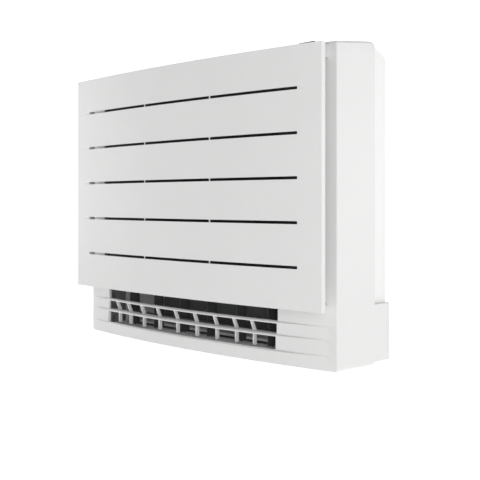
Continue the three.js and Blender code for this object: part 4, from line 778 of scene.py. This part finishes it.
def casing_section(x):
    """(y, z) corners from the foot, up the face, over the top and down the rear lip."""
    back = rounding(x, FRONT_ROUND)
    drop = rounding(x, SIDE_ROUND)
    rise = LEDGE_RISE * ledge_share(x) + LEDGE_RISE_END
    points = [(face_y(x, 0) + back, rounding(x, FOOT_ROUND[1 if x > 0 else -1]))]
    for k, top in enumerate(LEDGE_TOPS):
        points += [(face_y(x, k) + back, top - rise), (face_y(x, k + 1) + back, top)]
    y = face_y(x, 3) + back
    points += [(y, z) for z in (LOWER_TOP, INLET_BOTTOM, INLET_TOP)]
    corner_z = top_z(y + TOP_EDGE_R) - drop
    points += [(y, corner_z - TOP_EDGE_R)]
    for i in range(1, TOP_EDGE_STEPS + 1):
        a = math.radians(90 * i / TOP_EDGE_STEPS)
        points.append((
            y + TOP_EDGE_R * (1 - math.cos(a)), corner_z - TOP_EDGE_R * (1 - math.sin(a)),
        ))
    for at in (-50.0, UPPER_FRONT_Y, 0.0, UPPER_REAR_Y):
        points.append((at, top_z(at) - drop))
    centre_y, centre_z = SIDE_REAR_Y - TOP_REAR_RADIUS, HEIGHT - TOP_REAR_RADIUS
    for i in range(TOP_REAR_STEPS + 1):
        a = math.radians(90 - 90 * i / TOP_REAR_STEPS)
        points.append((
            centre_y + TOP_REAR_RADIUS * math.cos(a),
            centre_z + TOP_REAR_RADIUS * math.sin(a) - drop * math.sin(a),
        ))
    points.append((SIDE_REAR_Y, REAR_LIP_BOTTOM))
    return points


# painted shade: between these lines and the inlets, the casing's face takes the dark material where
# it lies in shade behind the panel
SHADE_BAND_LEFT, SHADE_BAND_RIGHT = -328.0, 296.0
# the rows of casing_section's faces that each opening takes
ROWS_OUTLET = range(2, 7)
ROW_INLET = 8
ROWS_NOZZLE = range(16, 18)


def casing_skin():
    turns = [math.sin(math.radians(90 * i / ROUND_STEPS)) for i in range(ROUND_STEPS + 1)]
    breaks = []
    for way in (-1, 1):
        for radius in (SIDE_ROUND, FRONT_ROUND, FOOT_ROUND[way]):
            breaks += [way * (HALF_WIDTH - radius + radius * turn) for turn in turns]
    for pair in (*INLETS, (OUTLET_LEFT, OUTLET_RIGHT), (NOZZLE_LEFT, NOZZLE_RIGHT)):
        breaks += pair
    breaks += [SHADE_BAND_LEFT, SHADE_BAND_RIGHT]
    xs = lines(breaks, FACE_STEP)
    sections = [[(x, y, z) for y, z in casing_section(x)] for x in xs]
    faces = Faces()

    def hole(x, row):
        if OUTLET_LEFT < x < OUTLET_RIGHT and row in ROWS_OUTLET:
            return True
        if row == ROW_INLET and any(a < x < b for a, b in INLETS):
            return True
        return NOZZLE_LEFT < x < NOZZLE_RIGHT and row in ROWS_NOZZLE

    for x0, x1, near, far in zip(xs, xs[1:], sections, sections[1:]):
        for row in range(len(near) - 1):
            if not hole((x0 + x1) / 2, row):
                faces.face(near[row], far[row], far[row + 1], near[row + 1])
    for way in (-1, 1):
        radius = FOOT_ROUND[way]
        curve = [x for x in xs if way * x >= HALF_WIDTH - radius - 0.001]
        curve.sort(key=abs)
        for x0, x1 in zip(curve, curve[1:]):
            p0, p1 = casing_section(x0)[0], casing_section(x1)[0]
            faces.face(
                (x0, *p0), (x1, *p1), (x1, SIDE_REAR_Y, p1[1]), (x0, SIDE_REAR_Y, p0[1]),
            )
        rim = sections[-1 if way > 0 else 0]
        faces.face(*rim, (way * HALF_WIDTH, SIDE_REAR_Y, rim[0][2]))
    return faces


def filter_seat(x):
    """Where a filter's rear face bears on its rail."""
    return inner_face_y(x) + FIT + FILTER_THICK + FIT


def filter_rear(x):
    return filter_seat(x) + RAIL_THICK


def face_root(x):
    return inner_face_y(x) - ROOT


def filter_rail(web_x, lip_left, lip_right):
    """An upright web behind the face, with lips that hold the filters' edges from behind."""
    web_left, web_right = web_x - RAIL_THICK / 2, web_x + RAIL_THICK / 2
    rail = Faces()
    rail.slab(web_left, web_right, face_root, filter_rear, RAIL_FOOT, RAIL_TOP)
    if lip_left < web_left:
        rail.slab(lip_left, web_left, filter_seat, filter_rear, RAIL_FOOT, RAIL_TOP)
    if lip_right > web_right:
        rail.slab(web_right, lip_right, filter_seat, filter_rear, RAIL_FOOT, RAIL_TOP)
    return rail


def front_casing():
    casing = casing_skin().make("casing_moulding")
    shell = casing.modifiers.new("wall", "SOLIDIFY")
    shell.thickness = CASING_WALL * MM
    shell.offset = -1.0
    shell.use_even_offset = True
    shell.use_rim = True
    bake(casing)
    rail_left, rail_right = INLETS[0][0] - RAIL_OFFSET, INLETS[1][1] + RAIL_OFFSET
    additions = [
        filter_rail(rail_left, rail_left, INLETS[0][0]),
        filter_rail(rail_right, INLETS[1][1], rail_right),
        filter_rail(FLOW_X, FLOW_X - RAIL_LIP, FLOW_X + RAIL_LIP),
    ]
    shelf = Faces()
    shelf.slab(rail_left, rail_right, face_root, filter_rear, RAIL_FOOT, RAIL_FOOT + RAIL_THICK)
    additions.append(shelf)
    for way in (-1, 1):
        x = way * HINGE_X
        arm = Faces()
        arm.prism(
            [(face_root(x), HINGE_Z - 7), (face_root(x), HINGE_Z + 8),
             *arc(HINGE_Y, HINGE_Z, CASING_ARM_R, 90, 270, 12)],
            x - 3, x + 3,
        )
        additions.append(arm)
    for x0, x1 in ((OUTLET_LEFT - 3, OUTLET_LEFT), (OUTLET_RIGHT, OUTLET_RIGHT + 3)):
        flange = Faces()
        flange.block(
            x0, x1, face_y(x0, 3) + ROOT, -61.0, LEDGE_TOPS[0] - 2.5, LOWER_TOP + 2.5,
        )
        additions.append(flange)
    boss = Faces()
    boss_top = top_z(BUTTON_Y) - ROOT
    boss.rod(BUTTON_BOSS_R, (BUTTON_X, BUTTON_Y, 581), (BUTTON_X, BUTTON_Y, boss_top), 40)
    additions.append(boss)
    combine(casing, "UNION", *[a.make(f"addition_{i}") for i, a in enumerate(additions)])
    bores = []
    for way in (-1, 1):
        x = way * HINGE_X
        bore = Faces()
        bore.rod(HINGE_BORE_R, (x - 6, HINGE_Y, HINGE_Z), (x + 6, HINGE_Y, HINGE_Z))
        bores.append(bore)
        hole = Faces()
        hole.rod(SCREW_HOLE_R, (way * SCREW_X, -119, SCREW_Z), (way * SCREW_X, 0, SCREW_Z))
        bores.append(hole)
    bore = Faces()
    bore.rod(BUTTON_BORE_R, (BUTTON_X, BUTTON_Y, 570), (BUTTON_X, BUTTON_Y, 601), 40)
    bores.append(bore)
    combine(casing, "DIFFERENCE", *[b.make(f"bore_{i}") for i, b in enumerate(bores)])
    soften(casing, 0.5, 2, 24.0)
    mount(casing, "unit", "white_shell", white_shell, "front_casing")
    # painted shade: the casing's face beside the inlets and along the middle rail takes the dark
    # material, where it lies in shade behind the panel
    casing.data.materials.append(filter_frame_and_shade)
    for polygon in casing.data.polygons:
        place = polygon.center / MM
        in_painted_shade = (
            abs(place.x - FLOW_X) < 6.5
            or SHADE_BAND_LEFT < place.x < INLETS[0][0] + 1
            or INLETS[1][1] - 1 < place.x < SHADE_BAND_RIGHT
        )
        if in_painted_shade and INLET_BOTTOM - 0.5 < place.z < INLET_TOP + 0.5 and place.y < -20:
            polygon.material_index = 1


front_casing()

# ---------------------------------------------------------------- lower outlet grille


def lower_grille():
    left, right = OUTLET_LEFT + FIT, OUTLET_RIGHT - FIT
    faces = Faces()

    def bar(ledges, depth):
        """A flat bar behind a rounded nose, its top level with a ledge's."""
        top = LEDGE_TOPS[ledges]
        bottom = top - GRILLE_BAR
        sections = []
        for x in spread(left, right, CURVE_STEP):
            y = face_y(x, ledges)
            sections.append([
                (x, y + dy, z) for dy, z in (
                    (0.9, bottom), (0.25, bottom + 0.3), (0.0, bottom + 0.9), (0.0, top - 3.2),
                    (0.3, top - 2.6), (3.0, top - 0.15), (3.6, top), (depth - 0.5, top),
                    (depth, top - 0.5), (depth, bottom + 0.5), (depth - 0.5, bottom),
                )
            ])
        faces.loft(sections)

    bar(2, 9.0)
    bar(1, 19.0)
    grille = faces.make("outlet_grille_moulding")
    ribs = []
    for i in range(-GRILLE_RIBS_EACH_SIDE, GRILLE_RIBS_EACH_SIDE + 1):
        x = GRILLE_RIB_MIDDLE + GRILLE_RIB_PITCH * i - GRILLE_RIB_CLOSE_UP * i ** 3
        f = face_y(x, 2)
        rib = Faces()
        rib.prism(
            [(f + 1.2, 78.0), (f + 10, 54.5), (f + 10, 26.8),
             (f + 18, 26.8), (f + 18, 55.0), (f + 8, 78.0)],
            x - GRILLE_RIB_HALF, x + GRILLE_RIB_HALF,
        )
        ribs.append(rib.make("rib"))
    combine(grille, "UNION", *ribs)
    soften(grille, 0.35)
    return mount(grille, "unit", "white_shell", white_shell, "lower_outlet_grille")


lower_grille()

# ---------------------------------------------------------------- filters and coil


NET_MARGIN = 6.5  # of the frame round the net
NET_PITCH = 2.6
STRAND_HALF, STRAND_THICK = 0.22, 0.3


def filter_net(side, body):
    """A fine net across the frame's windows: upright strands with level ones over them."""
    low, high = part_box(f"air_filter_{side}")
    x0, x1 = low.x / MM + NET_MARGIN, high.x / MM - NET_MARGIN
    z0, z1 = FILTER_FOOT + NET_MARGIN, FILTER_TOP - NET_MARGIN
    faces = Faces()

    def plane(x):
        return inner_face_y(x) + FIT + 1.7

    half, thick = STRAND_HALF, STRAND_THICK
    for x in spread(x0, x1, NET_PITCH):
        y = plane(x)
        faces.block(x - half, x + half, y, y + thick, z0, z1)
    stations = spread(x0, x1, CURVE_STEP)
    for z in spread(z0, z1, NET_PITCH):
        faces.loft([
            [(x, plane(x) + thick * 0.6, z - half), (x, plane(x) + thick * 1.6, z - half),
             (x, plane(x) + thick * 1.6, z + half), (x, plane(x) + thick * 0.6, z + half)]
            for x in stations
        ])
    net = faces.make(f"filter_net_{side}")
    return mount(net, body, "filter_mesh", net_black)


filter_net("left", "filter_left")
filter_net("right", "filter_right")


FIN_HALF = 0.1
FIN_PITCH = 1.8
TUBE_R = 3.5
TUBE_PITCH = 21
TUBE_COLUMNS = (6.0, 15.0)  # behind the fins' front edges


def fin_pack():
    """Thin flat fins, pierced by two staggered rows of tubes."""
    low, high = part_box("coil_fin_block")
    faces = Faces()
    x0, x1 = low.x / MM, high.x / MM
    y0, y1, z0, z1 = low.y / MM, high.y / MM, low.z / MM, high.z / MM
    for x in spread(x0 + FIN_HALF, x1 - FIN_HALF, FIN_PITCH):
        faces.block(x - FIN_HALF, x + FIN_HALF, y0, y1, z0, z1)
    pack = faces.make("fin_pack")
    tubes = Faces()
    count = int((z1 - z0 - 20) // TUBE_PITCH)
    for column, behind in enumerate(TUBE_COLUMNS):
        y = y0 + behind
        for i in range(count):
            z = z0 + 16 + TUBE_PITCH * i + column * TUBE_PITCH / 2
            if z < z1 - 6:
                tubes.rod(TUBE_R, (x0 + 0.4, y, z), (x1 - 0.4, y, z), 14)
    rods = tubes.make("coil_tubes")
    smooth(rods.data)
    mount(pack, "unit", "coil_aluminium", coil_aluminium, "coil_fin_block")
    mount(rods, "unit", "copper", copper, "coil_fin_block")


fin_pack()

# ---------------------------------------------------------------- flap, button, screws


def upper_flap():
    left, right = FLAP_LEFT, FLAP_RIGHT
    z_front, z_rear = top_z(-24), top_z(33)
    outline = [
        (-24.0, z_front), (-23.6, z_front - 1.4), (-22.6, z_front - 2.3), (-21.0, z_front - 2.6),
        (27.0, z_rear - 3.2), (30.0, z_rear - 4.0), (32.0, z_rear - 5.6), (32.8, z_rear - 4.6),
        (33.0, z_rear - 3.4), (32.4, z_rear - 2.0), (31.0, z_rear - 1.1), (28.5, z_rear - 0.6),
        (25.0, top_z(25)),
    ]
    blade = Faces()
    blade.prism(outline, left, right)
    flap = blade.make("flap_moulding")
    extra = []
    for x in (left, right - 3):
        arm = Faces()
        arm.prism(
            [(0.0, top_z(0) - FLAP_SKIN), *arc(FLAP_AXIS_Y, FLAP_AXIS_Z, 5.0, 180, 360, 14),
             (24.0, top_z(24) - FLAP_SKIN)],
            x, x + 3,
        )
        extra.append(arm.make("arm"))
    for a, b in ((FLAP_PIN_ENDS[0], left + 1), (right - 1, FLAP_PIN_ENDS[1])):
        pin = Faces()
        pin.rod(2.2, (a, FLAP_AXIS_Y, FLAP_AXIS_Z), (b, FLAP_AXIS_Y, FLAP_AXIS_Z))
        extra.append(pin.make("pin"))
    for x in [left + (right - left) * i / 6 for i in range(1, 6)]:
        rib = Faces()
        rib.prism(
            [(-10, top_z(-10) - 2.4), (-4, 590.2), (20, 591.6), (24, top_z(24) - 2.4)],
            x - 0.6, x + 0.6,
        )
        extra.append(rib.make("rib"))
    combine(flap, "UNION", *extra)
    soften(flap, 0.5, 2, 36.0)
    return mount(flap, "flap", "white_shell", white_shell, "upper_flap")


upper_flap()


def button():
    low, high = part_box("operation_button")
    z0, z1 = low.z / MM, high.z / MM
    profile = [
        (0.0, z0), (5.2, z0), (6.0, z0 + 0.8), (6.0, z1 - 1.1), (5.85, z1 - 0.55), (5.5, z1 - 0.15),
        (5.0, z1), (4.4, z1 - 0.1), (3.2, z1 - 0.35), (1.6, z1 - 0.52), (0.0, z1 - 0.58),
    ]
    faces = Faces()
    faces.lathe(profile, (BUTTON_X, BUTTON_Y))
    cap = faces.make("button_cap")
    smooth(cap.data)
    return mount(cap, "button", "white_shell", white_shell, "operation_button")


button()


def casing_screw(side, way):
    """A pan-head screw with a cross recess, its head towards the room."""
    low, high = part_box(f"casing_screw_{side}")
    x, z = way * SCREW_X, SCREW_Z
    head, tip = low.y / MM, high.y / MM
    seat = head + SCREW_HEAD
    faces = Faces()
    rings = []
    for y, r in (
        (head, 0.01), (head, 2.2), (head + 0.35, 3.2), (head + 1.1, 3.8), (seat - 0.2, 4.0),
        (seat, 3.9), (seat, 2.0), (tip - 2, 2.0), (tip, 0.8),
    ):
        rings.append([
            (x + r * math.cos(a), y, z + r * math.sin(a))
            for a in (2 * math.pi * i / 32 for i in range(32))
        ])
    faces.loft(rings)
    screw = faces.make(f"cross_screw_{side}")
    arms = []
    for across, along in ((2.2, 0.5), (0.5, 2.2)):
        arm = Faces()
        arm.loft([
            [(x - across * s, y, z - along * s), (x + across * s, y, z - along * s),
             (x + across * s, y, z + along * s), (x - across * s, y, z + along * s)]
            for y, s in ((head - 1, 1.1), (head + 1.4, 0.55))
        ])
        arms.append(arm.make("arm"))
    combine(screw, "DIFFERENCE", *arms)
    soften(screw, 0.12, 2, 40.0)
    return mount(screw, "unit", "steel", bright_steel, f"casing_screw_{side}")


casing_screw("left", -1)
casing_screw("right", 1)

# ---------------------------------------------------------------- CAD pieces that keep their shape

KEPT = {
    "inner_white": (inner_white, 0.5, [
        "fan_orifice", "upper_outlet_frame", "receiver_housing",
        *[f"upper_vane_{i}" for i in range(1, 7)],
    ]),
    "frame_white": (frame_white, 0.6, ["rear_frame"]),
    "duct_lining_and_shade": (duct_lining_and_shade, 0.4, ["lower_duct"]),
    "vane_shade_grey": (vane_shade_grey, 0.3, [f"lower_vane_{i}" for i in range(1, 7)]),
    "shutter_white": (shutter_white, 0.3, ["lower_shutter"]),
    "white_shell": (white_shell, 2.2, ["side_pipe_cover_left", "side_pipe_cover_right"]),
    "dark_plastic": (dark_plastic, 0.4, [
        "panel_catch_left", "panel_catch_right", "fan_motor", "upper_vane_link", "lower_vane_link",
        "terminal_block", "room_sensor",
    ]),
    "filter_frame_and_shade": (filter_frame_and_shade, 0.4, ["air_filter_left", "air_filter_right"]),
    "fan_grey": (fan_grey, 0.4, ["fan_rotor"]),
    "pan_foam": (pan_foam, 0.8, ["drain_pan"]),
    "steel": (steel, 0.3, [
        "coil_end_plate_left", "coil_end_plate_right", "mounting_plate", "electrical_box",
        "electrical_box_cover", "upper_flap_motor", "lower_shutter_motor",
    ]),
    "bright_steel": (bright_steel, 0.3, [
        "motor_shaft", "fan_nut", "motor_screw_1", "motor_screw_2", "motor_screw_3",
    ]),
    "copper": (copper, 0.2, ["coil_header", "gas_pipe", "liquid_pipe"]),
    "brass": (brass, 0.5, ["gas_flare_nut", "liquid_flare_nut"]),
    "circuit_board": (circuit_board, 0.2, ["control_board", "display_board"]),
    "dark_lens": (dark_lens, 0.6, ["display_lens"]),
}
# their pierced or notched walls do not hold as single faces
TRIANGLES_KEPT = {"rear_frame", "terminal_block", "panel_catch_left", "drain_pan"}
for material, width, names in KEPT.values():
    for name in names:
        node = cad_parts[name]
        dress(node, material)
        soften(node, width, weld=True, flatten=name not in TRIANGLES_KEPT)

# ---------------------------------------------------------------- floor, backdrop, light


def stage_finish(name, glow):
    finish = Finish(name, 0.9)
    finish.shader.inputs["Emission Strength"].default_value = glow
    finish.shader.inputs["Emission Color"].default_value = (1.0, 1.0, 1.0, 1.0)
    mottle = finish.noise(3.0, 2.0)
    finish.colour(finish.blend(mottle, (0.33, 0.33, 0.33), (0.37, 0.37, 0.37)))
    return finish.material


FLOOR_REACH = 9000
FLOOR_Z = -0.4
BACKDROP_X, BACKDROP_Y = -3587.4, 3483.7
BACKDROP_REACH = 7000
LOOK = (-0.7174, 0.6967)  # the camera's level direction

floor = Faces()
floor.sheet([
    [(x, y, FLOOR_Z) for x in (-FLOOR_REACH, FLOOR_REACH)] for y in (-FLOOR_REACH, FLOOR_REACH)
])
floor_piece = floor.make("studio_floor")
dress(floor_piece, stage_finish("studio_floor", 0.86))
backdrop = Faces()
backdrop.face(*[
    (BACKDROP_X + LOOK[1] * s, BACKDROP_Y - LOOK[0] * s, z)
    for s, z in (
        (-BACKDROP_REACH, -300), (BACKDROP_REACH, -300), (BACKDROP_REACH, 6000),
        (-BACKDROP_REACH, 6000),
    )
])
backdrop_piece = backdrop.make("studio_backdrop")
dress(backdrop_piece, stage_finish("studio_backdrop", 1.0))

world = bpy.data.worlds.new("studio")
bpy.context.scene.world = world
world.use_nodes = True
tree = world.node_tree
tree.nodes.clear()
sky_out = tree.nodes.new("ShaderNodeOutputWorld")
sky = tree.nodes.new("ShaderNodeBackground")
direction = tree.nodes.new("ShaderNodeTexCoord")
parts = tree.nodes.new("ShaderNodeSeparateXYZ")
fade = tree.nodes.new("ShaderNodeMapRange")
tree.links.new(direction.outputs["Generated"], parts.inputs["Vector"])
tree.links.new(parts.outputs["Z"], fade.inputs["Value"])
fade.inputs["From Min"].default_value = 0.7
fade.inputs["From Max"].default_value = 0.9
fade.inputs["To Min"].default_value = 0.1
fade.inputs["To Max"].default_value = 0.7
sky.inputs["Color"].default_value = (1.0, 1.0, 1.0, 1.0)
tree.links.new(fade.outputs["Result"], sky.inputs["Strength"])
tree.links.new(sky.outputs["Background"], sky_out.inputs["Surface"])


LIGHT_TARGET = (0.0, 0.0, 0.3)
LIGHT_DISTANCE = 3.2
LIGHT_SIZE = 1.6


def studio_light(name, around, above, power):
    """A soft square light, placed by its angles from +X towards the room and above the level."""
    around, above = math.radians(around), math.radians(above)
    way = Vector((
        math.cos(around) * math.cos(above), -math.sin(around) * math.cos(above), math.sin(above),
    ))
    light = bpy.data.lights.new(name, "AREA")
    light.shape = "SQUARE"
    light.size = LIGHT_SIZE
    light.energy = power
    lamp = bpy.data.objects.new(name, light)
    lamp.location = Vector(LIGHT_TARGET) + way * LIGHT_DISTANCE
    lamp.rotation_mode = "QUATERNION"
    lamp.rotation_quaternion = (-way).to_track_quat("-Z", "Y")
    bpy.context.scene.collection.objects.link(lamp)


studio_light("key_light", 38, 5, 40.0)
studio_light("side_light", -45, 5, 21.5)
studio_light("left_light", 165, 5, 23.0)

# ---------------------------------------------------------------- camera

camera = bpy.data.cameras.new("camera")
camera.sensor_width = 36.0
camera.lens = 66.13
camera.shift_y = -0.0791
camera.dof.use_dof = False
eye = bpy.data.objects.new("camera", camera)
eye.location = (1.3764, -1.26975, 0.3026)
eye.rotation_mode = "QUATERNION"
eye.rotation_quaternion = Vector((*LOOK, 0.0)).to_track_quat("-Z", "Y")
bpy.context.scene.collection.objects.link(eye)
bpy.context.scene.camera = eye
bpy.context.scene.view_settings.view_transform = "Standard"
bpy.context.scene.view_settings.look = "None"
